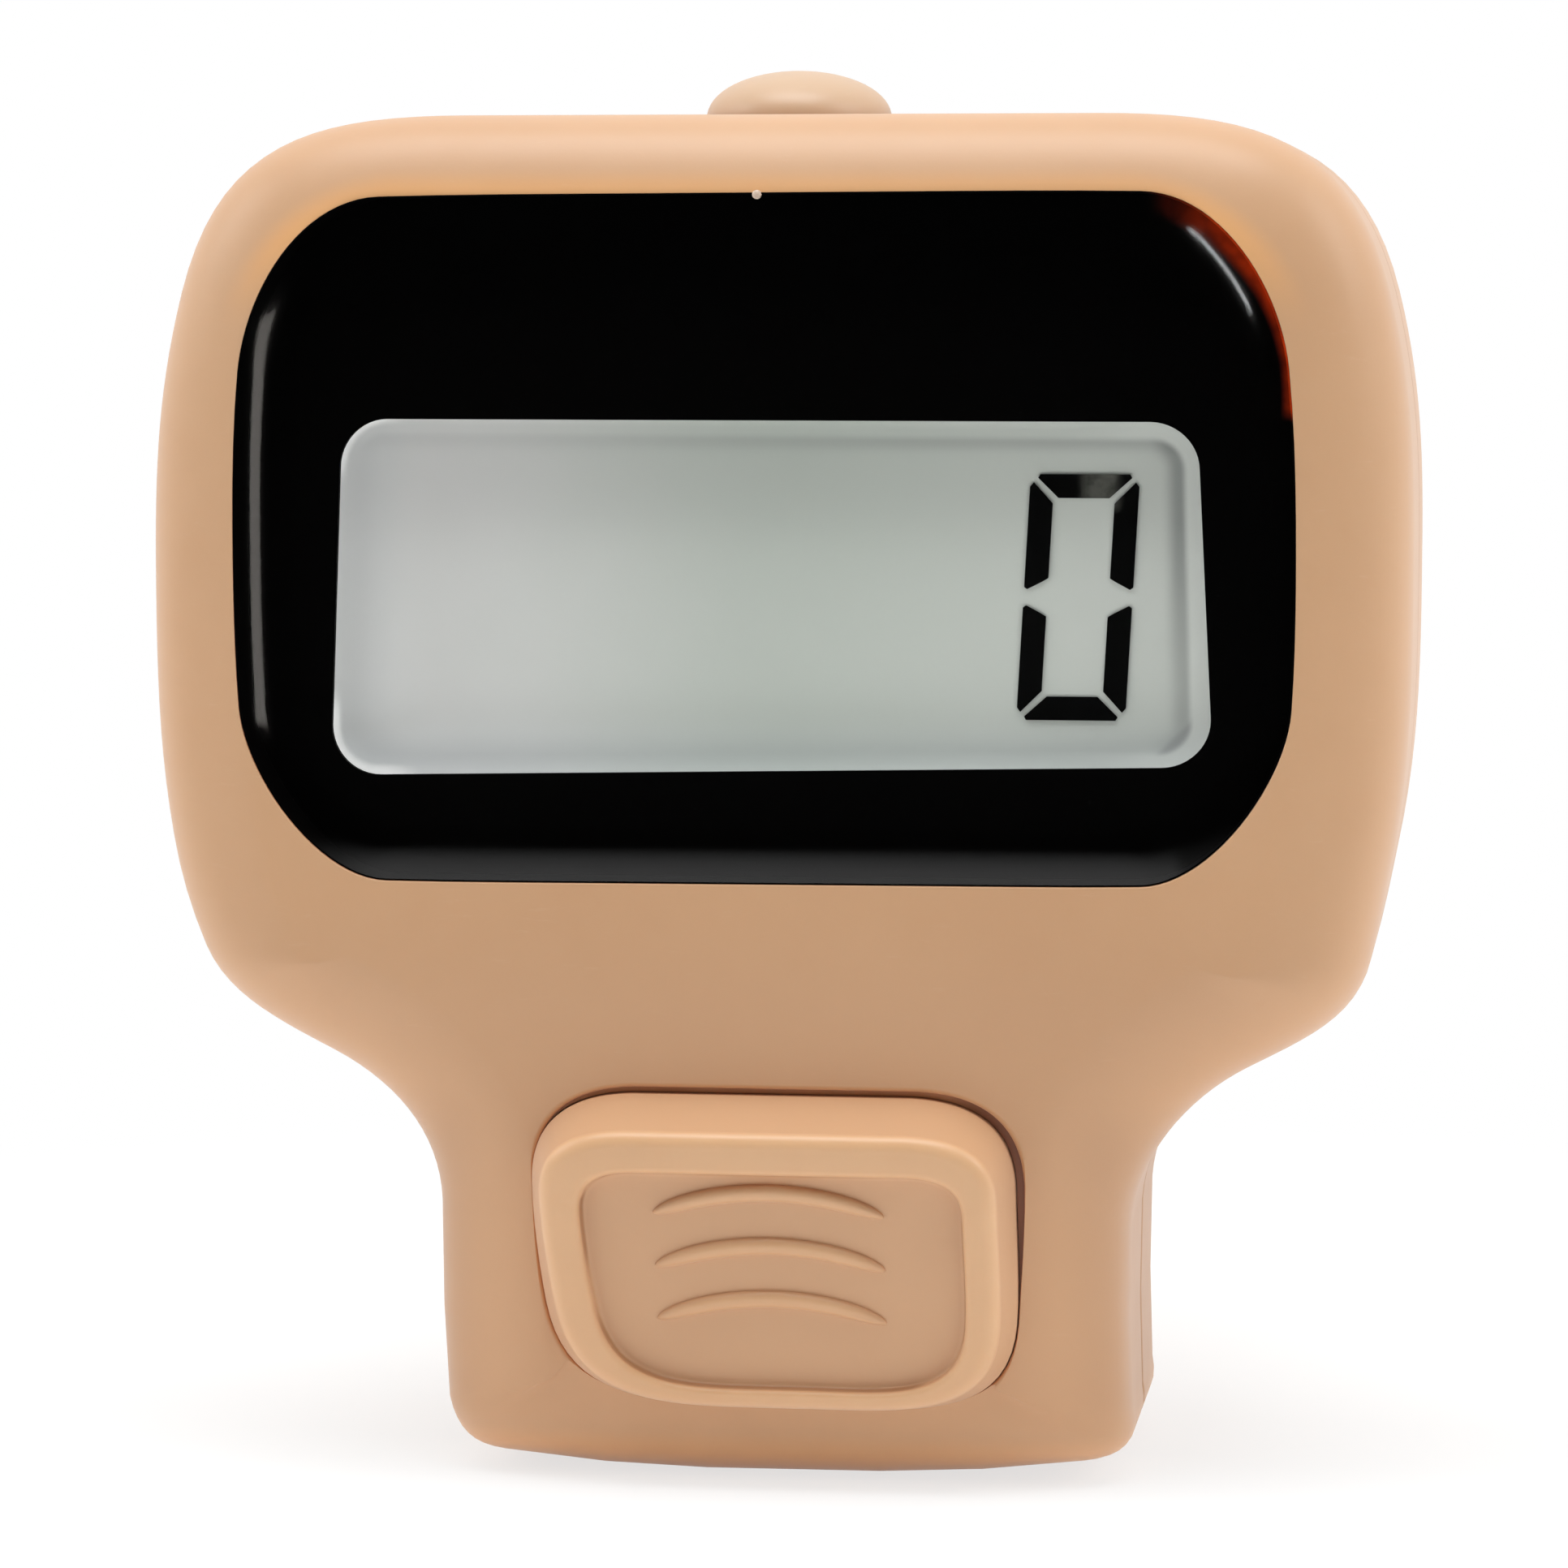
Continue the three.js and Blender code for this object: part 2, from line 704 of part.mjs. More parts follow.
// Reset button and switch, centred on the joint of the shells
const resetFlangeTop = bodyHeight - wall - restGap * 2;
const switchAxis = boardBack + bondGap + switchDepth / 2;
const plungerTop = resetFlangeTop - resetFlangeThickness - plungerDrop;
const switchTop = plungerTop - plungerRise;

function makeResetButton() {
  const dome = [0, 0.2, 0.4, 0.6, 0.8, 1].map((share) => {
    const angle = share * (Math.PI / 2);
    return [
      resetRadius * Math.cos(angle) ** 0.75,
      bodyHeight + resetRise * Math.sin(angle) ** 1.1,
    ];
  });
  dome[dome.length - 1][0] = 0;
  return turned(
    [
      [0, plungerTop + restGap],
      [resetStemRadius, plungerTop + restGap],
      [resetStemRadius, resetFlangeTop - resetFlangeThickness],
      [resetFlangeRadius, resetFlangeTop - resetFlangeThickness],
      [resetFlangeRadius, resetFlangeTop],
      [resetRadius, resetFlangeTop],
      ...dome,
    ],
    32,
    0,
    partingPlane,
    0,
    true,
  );
}

function makeSwitchBody() {
  const front = boardBack + bondGap;
  const shell = block(
    [-switchWidth / 2, switchWidth / 2],
    [front, front + switchDepth],
    [switchTop - switchHeight, switchTop],
  );
  const grow = plungerClearance;
  const mouth = block(
    [-plungerWidth / 2 - grow, plungerWidth / 2 + grow],
    [switchAxis - plungerDepth / 2 - grow, switchAxis + plungerDepth / 2 + grow],
    [switchTop - plungerSunk - resetTravel - grow, switchTop + overcut],
  );
  return cut(shell, mouth);
}

function makePlunger() {
  return block(
    [-plungerWidth / 2, plungerWidth / 2],
    [switchAxis - plungerDepth / 2, switchAxis + plungerDepth / 2],
    [switchTop - plungerSunk, plungerTop],
  );
}

// Button cell and springs
function makeCellCan() {
  const mouth = cellBack - cellCanDepth;
  return cut(
    diskY(cellRadius, mouth, cellBack, 0, cellHeight, 48),
    diskY(cellRadius - cellSkin, mouth - overcut, cellBack - cellSkin, 0, cellHeight, 48),
  );
}

function makeCellCap() {
  const inner = cellBack - cellSkin - restGap;
  return cut(
    diskY(cellCapRadius, cellFront, inner, 0, cellHeight, 48),
    diskY(cellCapRadius - cellSkin, cellFront + cellSkin, inner + overcut, 0, cellHeight, 48),
  );
}

function makeCellSeal() {
  const mouth = cellBack - cellCanDepth;
  const inner = cellCapRadius + restGap;
  const back = cellBack - cellSkin - restGap;
  return cut(
    diskY(inner + cellSealWidth, mouth, back, 0, cellHeight, 48),
    diskY(inner, mouth - overcut, back + overcut, 0, cellHeight, 48),
  );
}

// A bent strip, its path as [x, y] pairs and its skin springThickness thick, spans [low, high] in height.
function bentStrip(path, [low, high]) {
  const side = (offset) =>
    path.map(([x, y], i) => {
      const [ax, ay] = path[Math.max(0, i - 1)];
      const [bx, by] = path[Math.min(path.length - 1, i + 1)];
      const length = Math.hypot(bx - ax, by - ay);
      return new THREE.Vector2(x - (offset * (by - ay)) / length, y + (offset * (bx - ax)) / length);
    });
  const shape = new THREE.Shape([...side(-springThickness / 2), ...side(springThickness / 2).reverse()]);
  const strip = new THREE.ExtrudeGeometry(shape, { depth: high - low, bevelEnabled: false });
  strip.translate(0, 0, low);
  return solidOf(strip);
}

function makeMinusSpring() {
  const foot = boardBack + bondGap + springThickness / 2;
  const touch = cellFront - restGap - springThickness / 2;
  const path = [
    [-springReach, foot],
    [-springReach / 2, foot],
    [0, touch],
    [springReach / 3, touch],
    [springReach / 2, touch - springSet],
  ];
  return bentStrip(path, [cellHeight - springWidth / 2, cellHeight + springWidth / 2]);
}

function plusSpringSpan(grow) {
  return [cellHeight - springWidth / 2 - grow, cellHeight + springWidth / 2 + grow];
}

function makePlusSpring() {
  const foot = boardBack + bondGap + springThickness / 2;
  const touch = -cellRadius - restGap - springThickness / 2;
  const path = [
    [touch - springReach * 0.7, foot],
    [touch - springSet, foot],
    [touch - springSet, foot + sideSpringRise * 0.25],
    [touch, foot + sideSpringRise * 0.6],
    [touch - springSet, foot + sideSpringRise],
  ];
  return bentStrip(path, plusSpringSpan(0));
}

// Battery door
function makeDoor() {
  const flangeInner = backPlane - doorFlange;
  const hubInner = backPlane - doorHubDepth;
  const flange = diskY(doorRadius, flangeInner, backPlane, 0, cellHeight, 48);
  const hub = diskY(doorHubRadius, hubInner, flangeInner + joinDepth, 0, cellHeight, 48);
  const tabs = tabAngles.map((angle) => wedge(tabRadius, hubInner, hubInner + tabThickness, angle, tabAngle));
  const slot = block(
    [-coinSlotLength / 2, coinSlotLength / 2],
    [backPlane - coinSlotDepth, backPlane + overcut],
    [cellHeight - coinSlotWidth / 2, cellHeight + coinSlotWidth / 2],
  );
  return cut(join(flange, hub, ...tabs), slot);
}

// Case screws
function makeScrew(x, z) {
  const seat = backPlane - screwRecess + bondGap;
  const headBack = seat + screwHeadHeight;
  const screw = turned(
    [
      [0, seat - screwLength],
      [screwShankRadius * 0.5, seat - screwLength],
      [screwShankRadius, seat - screwLength + screwTip],
      [screwShankRadius, seat],
      [screwHeadRadius, seat],
      [screwHeadRadius, headBack - screwRim],
      [screwHeadRadius - screwRim, headBack],
      [0, headBack],
    ],
    24,
    x,
    0,
    z,
  );
  const [long, thin, deep] = crossSize;
  const bar = (width, height) =>
    block(
      [x - width / 2, x + width / 2],
      [headBack - deep, headBack + overcut],
      [z - height / 2, z + height / 2],
    );
  return cut(screw, bar(long, thin), bar(thin, long));
}

// Finger strap: side is 1 for the upper half and -1 for the lower one
const pinHeight = loopInnerRadius + strapThickness / 2;
const pinDepth = backPlane + pinStandOff;
const loopCentre = backPlane + loopDepth;

// A lug is a round-ended ear of the rear cover, at one end of a pin.
function makeLug(side, end) {
  const z = loopHeight + side * pinHeight;
  const inner = strapWidth / 2 + lugPlay;
  const [x0, x1] = end > 0 ? [inner, inner + lugThickness] : [-inner - lugThickness, -inner];
  const ear = rodX(lugRadius, x0, x1, pinDepth, z, 28);
  const foot = block([x0, x1], [backPlane - joinDepth, pinDepth], [z - lugRadius, z + lugRadius]);
  return cut(join(ear, foot), rodX(pinRadius + pinPlay, x0 - overcut, x1 + overcut, pinDepth, z));
}

function makePin(side) {
  return rodX(pinRadius, -pinLength / 2, pinLength / 2, pinDepth, loopHeight + side * pinHeight);
}

// The band's side view in Y and Z: straight from the pin, then round the back of the finger to
// stopAngle, measured from the middle of the loop's back.
function bandOutline(side, stopAngle) {
  const steps = 14;
  const stop = THREE.MathUtils.degToRad(stopAngle);
  const rim = (radius) =>
    Array.from({ length: steps + 1 }, (_, i) => {
      const angle = Math.PI / 2 + (stop - Math.PI / 2) * (i / steps);
      return [loopCentre + radius * Math.cos(angle), loopHeight + side * radius * Math.sin(angle)];
    });
  const outer = rim(loopInnerRadius + strapThickness);
  const inner = rim(loopInnerRadius);
  const root = (radius) => [pinDepth, loopHeight + side * radius];
  return [root(loopInnerRadius + strapThickness), ...outer, ...inner.reverse(), root(loopInnerRadius)];
}

function bandPiece(side, stopAngle, [left, right]) {
  const outline = bandOutline(side, stopAngle).map(([y, z]) => new THREE.Vector2(y, z));
  const shape = new THREE.Shape(outline);
  const band = new THREE.ExtrudeGeometry(shape, { depth: right - left, bevelEnabled: false });
  band.applyMatrix4(new THREE.Matrix4().set(0, 0, 1, left, 1, 0, 0, 0, 0, 1, 0, 0, 0, 0, 0, 1));
  return solidOf(band);
}

// The upper half ends in a tongue and the lower half in a fork that takes it.
function makeStrap(side) {
  const half = strapWidth / 2;
  const z = loopHeight + side * pinHeight;
  const knuckle = rodX(knuckleRadius, -half, half, pinDepth, z, 28);
  const bore = rodX(pinRadius + pinPlay, -half - overcut, half + overcut, pinDepth, z);
  const slotHalf = tongueWidth / 2 + forkPlay;
  if (side > 0) {
    const body = bandPiece(side, tongueShoulder, [-half, half]);
    const tongue = bandPiece(side, -tongueReach, [-tongueWidth / 2, tongueWidth / 2]);
    return cut(join(body, tongue, knuckle), bore);
  }
  const body = bandPiece(side, forkSlotReach, [-half, half]);
  const prongs = [
    [-half, -slotHalf],
    [slotHalf, half],
  ].map((span) => bandPiece(side, -forkReach, span));
  return cut(join(body, ...prongs, knuckle), bore);
}

// Materials
const plastic = (color, roughness) => new THREE.MeshStandardMaterial({ color, roughness, metalness: 0 });
const metal = (color, roughness) => new THREE.MeshStandardMaterial({ color, roughness, metalness: 1 });
const seeThrough = (color, opacity) =>
  new THREE.MeshStandardMaterial({ color, roughness: 0.05, transparent: true, opacity });
const beige = plastic(0xe0b893, 0.5);
const beigeButton = plastic(0xe6be94, 0.42);
const clear = seeThrough(0xf4f6f6, 0.3);
const black = plastic(0x0a090a, 0.35);
const glass = seeThrough(0xdfe6e2, 0.4);
const film = plastic(0xb7bdb2, 0.35);
const rubberGrey = plastic(0x8f9296, 0.8);
const pink = plastic(0xd98a94, 0.7);
const laminate = plastic(0x1f6a3a, 0.4);
const epoxy = plastic(0x101012, 0.3);
const softBand = plastic(0xdcb48f, 0.65);
const steel = metal(0xc9ccd0, 0.3);
const springSteel = metal(0xd6d2c4, 0.25);
const ceramicTan = plastic(0xb59a78, 0.5);

// Assembly
const counter = new THREE.Group();
counter.position.z = -loopHeight;

function addPiece(name, solid, material) {
  const mesh = new THREE.Mesh(geometryOf(solid), material);
  mesh.name = name;
  counter.add(mesh);
}

addPiece("front_case", makeFrontCase(), beige);
addPiece("rear_cover", makeRearCover(), beige);
addPiece("window_lens", makeLens(), clear);
addPiece("window_mask", makeMask(), black);
addPiece("lcd_polariser", plate(filmInset, glassTop, displayFront, displayFront + filmThickness), film);
addPiece("lcd_front_glass", plate(0, glassTop + contactLedge, frontGlassFront, frontGlassBack), glass);
addPiece("lcd_rear_glass", plate(0, glassTop, frontGlassBack + bondGap, rearGlassBack), glass);
addPiece("lcd_reflector", plate(filmInset, glassTop, rearGlassBack + bondGap, reflectorBack), film);
addPiece("lcd_foam_pad", makeFoamPad(), rubberGrey);
addPiece("zebra_strip", makeZebraStrip(), pink);
addPiece("circuit_board", makeBoard(), laminate);
addPiece("chip_cover", makeChipCover(), epoxy);
addPiece("board_capacitor", boardChip(capacitorSize, 1), ceramicTan);
addPiece("board_resistor", boardChip(resistorSize, -1), epoxy);
addPiece("count_button", makeCountButton(), beigeButton);
addPiece("count_dome", makeDome(), rubberGrey);
addPiece("count_contact_pill", makePill(), epoxy);
addPiece("reset_button", makeResetButton(), beigeButton);
addPiece("reset_switch_body", makeSwitchBody(), epoxy);
addPiece("reset_switch_plunger", makePlunger(), rubberGrey);
addPiece("cell_can", makeCellCan(), steel);
addPiece("cell_seal", makeCellSeal(), rubberGrey);
addPiece("cell_cap", makeCellCap(), steel);
addPiece("cell_minus_spring", makeMinusSpring(), springSteel);
addPiece("cell_plus_spring", makePlusSpring(), springSteel);
addPiece("battery_door", makeDoor(), beige);
screwPlaces.forEach(([name, x, z]) => addPiece(name, makeScrew(x, z), steel));
addPiece("strap_upper", makeStrap(1), softBand);
addPiece("strap_lower", makeStrap(-1), softBand);
addPiece("strap_pin_upper", makePin(1), steel);
addPiece("strap_pin_lower", makePin(-1), steel);

export default counter;
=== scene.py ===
import bpy
import bmesh
import math
from mathutils import Matrix, Vector


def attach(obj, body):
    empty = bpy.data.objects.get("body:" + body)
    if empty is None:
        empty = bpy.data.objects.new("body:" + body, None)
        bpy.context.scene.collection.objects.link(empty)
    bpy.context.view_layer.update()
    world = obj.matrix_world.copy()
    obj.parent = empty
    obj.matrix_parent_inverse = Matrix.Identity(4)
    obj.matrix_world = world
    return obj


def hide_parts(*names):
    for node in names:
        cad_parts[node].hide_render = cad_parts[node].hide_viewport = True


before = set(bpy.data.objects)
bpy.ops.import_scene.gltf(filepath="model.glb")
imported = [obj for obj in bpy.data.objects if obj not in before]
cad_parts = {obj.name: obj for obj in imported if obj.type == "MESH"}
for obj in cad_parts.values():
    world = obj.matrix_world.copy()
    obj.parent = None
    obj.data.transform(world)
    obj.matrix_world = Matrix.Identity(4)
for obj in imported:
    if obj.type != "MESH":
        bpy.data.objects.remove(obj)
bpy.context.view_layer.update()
print("frame loaded")

mm = 0.001
loopHeight = 15.5  # heights below are counted from the base, as in the part's source


def place(x, y, h):
    return Vector((x * mm, y * mm, (h - loopHeight) * mm))


# Outlines, as points of x and height in millimetres

body = {
    "height": 30.94, "headWidth": 28.4, "headWidest": 20.9, "topFlat": 14.2,
    "shoulderWidth": 27.15, "shoulder": 27, "hipWidth": 26.45, "hip": 12.2,
    "waistWidth": 20.74, "waist": 9.7, "neckWidth": 15.8, "neckTop": 6,
    "baseCorner": 1.6, "baseCornerWidth": 13.5, "baseCrown": 0.32, "baseFlat": 4,
    "front": -11.8, "parting": -4.9, "partingGap": 0.2, "partingInset": 0.12,
    "slope": 0.14, "slopeStart": 13.6, "slopeEnd": 11,
    "steps": (2, 8, 2, 16, 12, 14, 14, 18),
    # how far each part lies to the right, and the heights over which that comes and goes
    "leans": {
        "waist": (0.19, (5, 9), (14.3, 10.3)), "foot": (0.19, (2.2, 0.6)),
        "neck": (-0.03, (9, 5)), "head": (-0.05, (10.5, 12.5), (29, 20)),
    },
    "footTilt": 0.014,
}


def smoothHalf(stations):
    # each station is x, height, heading, steps and pull; a cubic joins it to the one before
    points = [Vector(stations[0][:2])]
    for before, now in zip(stations, stations[1:]):
        p, q = Vector(before[:2]), Vector(now[:2])
        reach = now[5] * (q - p).length
        a = p + Vector(before[2:4]).normalized() * reach
        b = q - Vector(now[2:4]).normalized() * reach
        for i in range(1, now[4] + 1):
            t = i / now[4]
            s = 1 - t
            points.append(p * s**3 + a * (3 * s * s * t) + b * (3 * s * t * t) + q * t**3)
    return points


def mirrored(half):
    return half + [Vector((-p.x, p.y)) for p in reversed(half)]


def eased(value, low, high):
    share = min(1, max(0, (value - low) / (high - low)))
    return share * share * (3 - 2 * share)


def leaning(p):
    # the case isn't quite symmetric: its waist and foot lie to the right, its head a trace to the left
    across = 0
    for amount, *spans in body["leans"].values():
        across += amount * math.prod(eased(p.y, low, high) for low, high in spans)
    foot = eased(p.y, *body["leans"]["foot"][1])
    return Vector((p.x + across, p.y + body["footTilt"] * max(0, p.x) * foot))


def bodyOutline(inset):
    neck = body["neckWidth"] / 2 - inset
    s = body["steps"]
    outline = mirrored(smoothHalf([
        (body["baseFlat"] / 2, inset, 1, 0),
        (body["baseCornerWidth"] / 2 - inset * 0.9, body["baseCrown"] + inset, 1, 0.12, s[0], 0.36),
        (neck, body["baseCorner"] + inset * 0.35, 0, 1, s[1], 0.48),
        (neck, body["neckTop"], 0, 1, s[2], 0.3),
        (body["waistWidth"] / 2 - inset * 0.43, body["waist"] + inset * 0.9, 0.88, 0.47, s[3], 0.36),
        (body["hipWidth"] / 2 - inset * 0.95, body["hip"], 0.3, 0.95, s[4], 0.36),
        (body["headWidth"] / 2 - inset, body["headWidest"], 0, 1, s[5], 0.36),
        (
            body["shoulderWidth"] / 2 - inset * 0.97, body["shoulder"] - inset * 0.2,
            -0.25, 0.97, s[6], 0.36,
        ),
        (body["topFlat"] / 2, body["height"] - inset, -1, 0, s[7], 0.46),
    ]))
    return [leaning(p) for p in outline]


window = {
    "width": 23.66, "height": 15.25, "centre": 21.55, "corner": (3.4, 3.9),
    "ledge": -10.26, "lip": 0.03, "clearance": 0.01, "lensFront": -12.0, "lensBack": -10.45,
    "bevelWidth": 1.5, "bevelDepth": 0.26, "collar": 0.035, "maskBack": -10.28, "shift": -0.18, "tilt": 0.3,
    "viewTop": 19.3, "viewBottom": 19.8, "viewHeight": 7.9, "viewCentre": 20.24, "viewCorner": 1.1,
    "viewSkew": (0.0043, 0.0026, 1.01),  # rise to the right, taper to the right, and scale
    "viewRoom": 0.4, "straight": 4, "bow": (0.09, 0.16), "glowCorner": 4.4,
}


def seated(points):
    # the window sits slightly to the left and a trace askew
    middle = Vector((0, window["centre"]))
    turn = Matrix.Rotation(math.radians(window["tilt"]), 2)
    return [turn @ (p - middle) + middle + Vector((window["shift"], 0)) for p in points]


def windowOutline(inset):
    # nearly straight top and foot, slightly bowed sides, corners that slant more than a circle's
    half = window["width"] / 2 - inset
    low = window["centre"] - window["height"] / 2 + inset
    high = window["centre"] + window["height"] / 2 - inset
    wide, tall = (c - inset * 0.6 for c in window["corner"])
    lowBow, highBow = window["bow"]
    inner = half - wide - window["straight"]
    return seated(mirrored(smoothHalf([
        (inner, low, 1, 0),
        (half - wide, low + 0.02, 1, 0.02, 3, 0.33),
        (half - lowBow, low + tall, 0.07, 1, 22, 0.305),
        (half, window["centre"] - 0.4, 0, 1, 5, 0.33),
        (half - highBow, high - tall, -0.1, 1, 5, 0.33),
        (half - wide, high - 0.03, -1, 0.02, 22, 0.35),
        (inner, high, -1, 0, 3, 0.33),
    ])))


def viewOutline(grow):
    corner = window["viewCorner"] + grow
    low = window["viewCentre"] - window["viewHeight"] / 2 - grow
    high = window["viewCentre"] + window["viewHeight"] / 2 + grow
    bottom, top = window["viewBottom"] / 2 + grow, window["viewTop"] / 2 + grow
    outline = mirrored(smoothHalf([
        (bottom - corner, low, 1, 0),
        (bottom, low + corner, 0, 1, 12, 0.39),
        (top, high - corner, 0, 1, 2, 0.3),
        (top - corner, high, -1, 0, 12, 0.39),
    ]))
    # it is a trace lower at its right end than at its left
    rise, taper, scale = window["viewSkew"]
    for p in outline:
        p.y = window["viewCentre"] + (p.y - window["viewCentre"]) / (scale + p.x * taper) + p.x * rise
    return seated(outline)


button = {
    "width": 10.9, "height": 7.2, "centre": 5.55, "topProud": 1.5, "bottomProud": 0.7,
    "corner": 2.3, "shift": 0.05, "recessShift": 0.08,
    "gap": {
        "foot": 0.03, "side": 0.06, "top": 0.15, "right": 0.11, "throat": 0.02, "depth": 0.27, "rise": 3.0,
    },
    "leftSide": (0.25, 1.28, 0.17), "rightSide": (-0.01, 1.55, 0.08), "sideRise": 1.5,
    "draft": (0.3, 0.66, 0.02), "rim": (0.86, 0.98, 0.48), "round": 0.38, "recess": 0.45,
    "flangeFront": -9.1, "flangeBack": -8.5, "flangeWidth": 0.7, "lip": 0.12,
    "ridgePitch": 1.25, "ridgeWidth": 0.42, "ridgeLength": 5.2, "ridgeRise": 0.2, "ridgeArch": 0.5,
    "recessLip": 0.16, "recessHeel": 0.14, "sunk": 0.05, "flangeRoom": 1.65,
}
button["high"] = button["centre"] + button["height"] / 2
button["low"] = button["centre"] - button["height"] / 2


def buttonOutline(side, top=None, bottom=None):
    high = button["high"] - (side if top is None else top)
    low = button["low"] + (side if bottom is None else bottom)
    half = button["width"] / 2 - side
    left, right = (smoothHalf([
        (button["width"] * 0.06, low, 1, 0),
        (half - lean, button["centre"] - drop, slant, 1, 18, 0.45),
        (half, button["centre"] + button["sideRise"] - side * 0.4, 0, 1, 6, 0.3),
        (button["width"] / 2 - button["corner"], high, -1, 0.04, 30, 0.46),
    ]) for lean, drop, slant in (button["leftSide"], button["rightSide"]))
    outline = right + [Vector((-p.x, p.y)) for p in reversed(left)]
    return [p + Vector((button["shift"], 0)) for p in outline]


def openingOutline(inset):
    # the case's edge round the button: open at the top and the right, nearly closed at the foot
    gap = button["gap"]
    points = []
    for p in buttonOutline(inset - gap["foot"], inset - gap["top"], inset - gap["foot"]):
        share = eased(p.y, button["centre"] - gap["rise"] / 2, button["centre"] + gap["rise"] / 2)
        points.append(p + Vector(((math.copysign(gap["side"], p.x) + gap["right"]) * share, 0)))
    return points


def slopeAt(h):
    # how far the front leans back at a height: nothing on the head, then eased into the neck's slope
    start, end = body["slopeStart"], body["slopeEnd"]
    if h >= start:
        return 0
    if h > end:
        return body["slope"] * (start - h) ** 2 / (2 * (start - end))
    return body["slope"] * ((start + end) / 2 - h)


def frontFace(h):
    return body["front"] + slopeAt(h)


def buttonFace(h):
    high = frontFace(button["high"]) - button["topProud"]
    low = frontFace(button["low"]) - button["bottomProud"]
    return low + (high - low) * (h - button["low"]) / (button["high"] - button["low"])


# Modelling by operators

def onlyActive(piece):
    if bpy.context.object and bpy.context.object.mode != "OBJECT":
        bpy.ops.object.mode_set(mode="OBJECT")
    bpy.ops.object.select_all(action="DESELECT")
    piece.select_set(True)
    bpy.context.view_layer.objects.active = piece


def ringSolid(name, rings):
    # a filled circle whose corners go to the first ring, extruded once for each ring that follows
    bpy.ops.object.select_all(action="DESELECT")
    bpy.ops.mesh.primitive_circle_add(vertices=len(rings[0]), radius=0.01, fill_type="NGON")
    piece = bpy.context.object
    piece.name = piece.data.name = name
    bpy.ops.object.mode_set(mode="EDIT")
    mesh = bmesh.from_edit_mesh(piece.data)
    mesh.verts.ensure_lookup_table()
    for vert, point in zip(mesh.verts, rings[0]):
        vert.co = point
    for before, ring in zip(rings, rings[1:]):
        bpy.ops.mesh.extrude_region_move()
        mesh = bmesh.from_edit_mesh(piece.data)
        seat = {tuple(round(c, 8) for c in p): q for p, q in zip(before, ring)}
        for vert in mesh.verts:
            if vert.select:
                vert.co = seat[tuple(round(c, 8) for c in vert.co)]
    bmesh.update_edit_mesh(piece.data)
    bpy.ops.mesh.select_all(action="SELECT")
    bpy.ops.mesh.normals_make_consistent(inside=False)
    bpy.ops.object.mode_set(mode="OBJECT")
    return piece


def ringAt(outline, y):
    return [place(p.x, y(p.y) if callable(y) else y, p.y) for p in outline]


def carve(piece, cutter, operation="DIFFERENCE"):
    onlyActive(piece)
    cut = piece.modifiers.new("carve", "BOOLEAN")
    cut.operation = operation
    cut.solver = "EXACT"
    cut.object = cutter
    bpy.ops.object.modifier_apply(modifier=cut.name)
    bpy.data.objects.remove(cutter)
    return piece


def slab(name, outline, near, far):
    return ringSolid(name, [ringAt(outline, near), ringAt(outline, far)])


def arc(radius, first, last, count):
    # points round part of a circle, from one angle in degrees to another
    angles = [math.radians(first + (last - first) * i / count) for i in range(count + 1)]
    return [(radius * math.cos(a), radius * math.sin(a)) for a in angles]


def turned(name, profile, sides, seat):
    # a profile of radius and way along a line, turned about that line
    return ringSolid(name, [
        [seat(c, s, along) for c, s in arc(radius, 0, 360, sides)[:-1]] for radius, along in profile
    ])


def turnedX(name, profile, y, h, sides=40):
    return turned(name, profile, sides, lambda c, s, x: place(x, y + c, h + s))


def turnedY(name, profile, x, h, sides=64):
    return turned(name, profile, sides, lambda c, s, y: place(x + c, y, h + s))


def turnedZ(name, profile, x, y, sides=64):
    return turned(name, profile, sides, lambda c, s, h: place(x + c, y + s, h))


def arcSteps(count):
    # shares of a quarter turn: how far in and how far down a rounded edge has gone
    angles = [i / count * math.pi / 2 for i in range(count + 1)]
    return [(1 - math.sin(a), 1 - math.cos(a)) for a in angles]


def flare(radius, lip, top=0):
    # the rounded mouth of a turned bore, from its wall to beyond the face
    return [
        (radius + lip * inward, top - lip * down) for inward, down in arcSteps(4)[-2::-1]
    ] + [(radius + lip, top + 1)]


def rod(radius, half, edge, count):
    # a profile with both ends rounded
    return [(radius - edge * inward, -half + edge * down) for inward, down in arcSteps(count)] + [
        (radius - edge * inward, half - edge * down) for inward, down in arcSteps(count)[::-1]
    ]


def block(name, low, high):
    # a cube primitive at its size and place, between two corners
    bpy.ops.object.select_all(action="DESELECT")
    a, b = place(*low), place(*high)
    bpy.ops.mesh.primitive_cube_add(size=1, location=(a + b) / 2, scale=b - a)
    piece = bpy.context.object
    piece.name = piece.data.name = name
    bpy.ops.object.transform_apply(location=True, rotation=True, scale=True)
    return piece


def bevelSharp(piece, width, segments, angle):
    onlyActive(piece)
    edge = piece.modifiers.new("edge", "BEVEL")
    edge.width = width * mm
    edge.segments = segments
    edge.limit_method = "ANGLE"
    edge.angle_limit = math.radians(angle)
    bpy.ops.object.modifier_apply(modifier=edge.name)
    return piece


def joinAll(name, pieces):
    onlyActive(pieces[0])
    for piece in pieces[1:]:
        piece.select_set(True)
    bpy.ops.object.join()
    joined = bpy.context.object
    joined.name = joined.data.name = name
    return joined


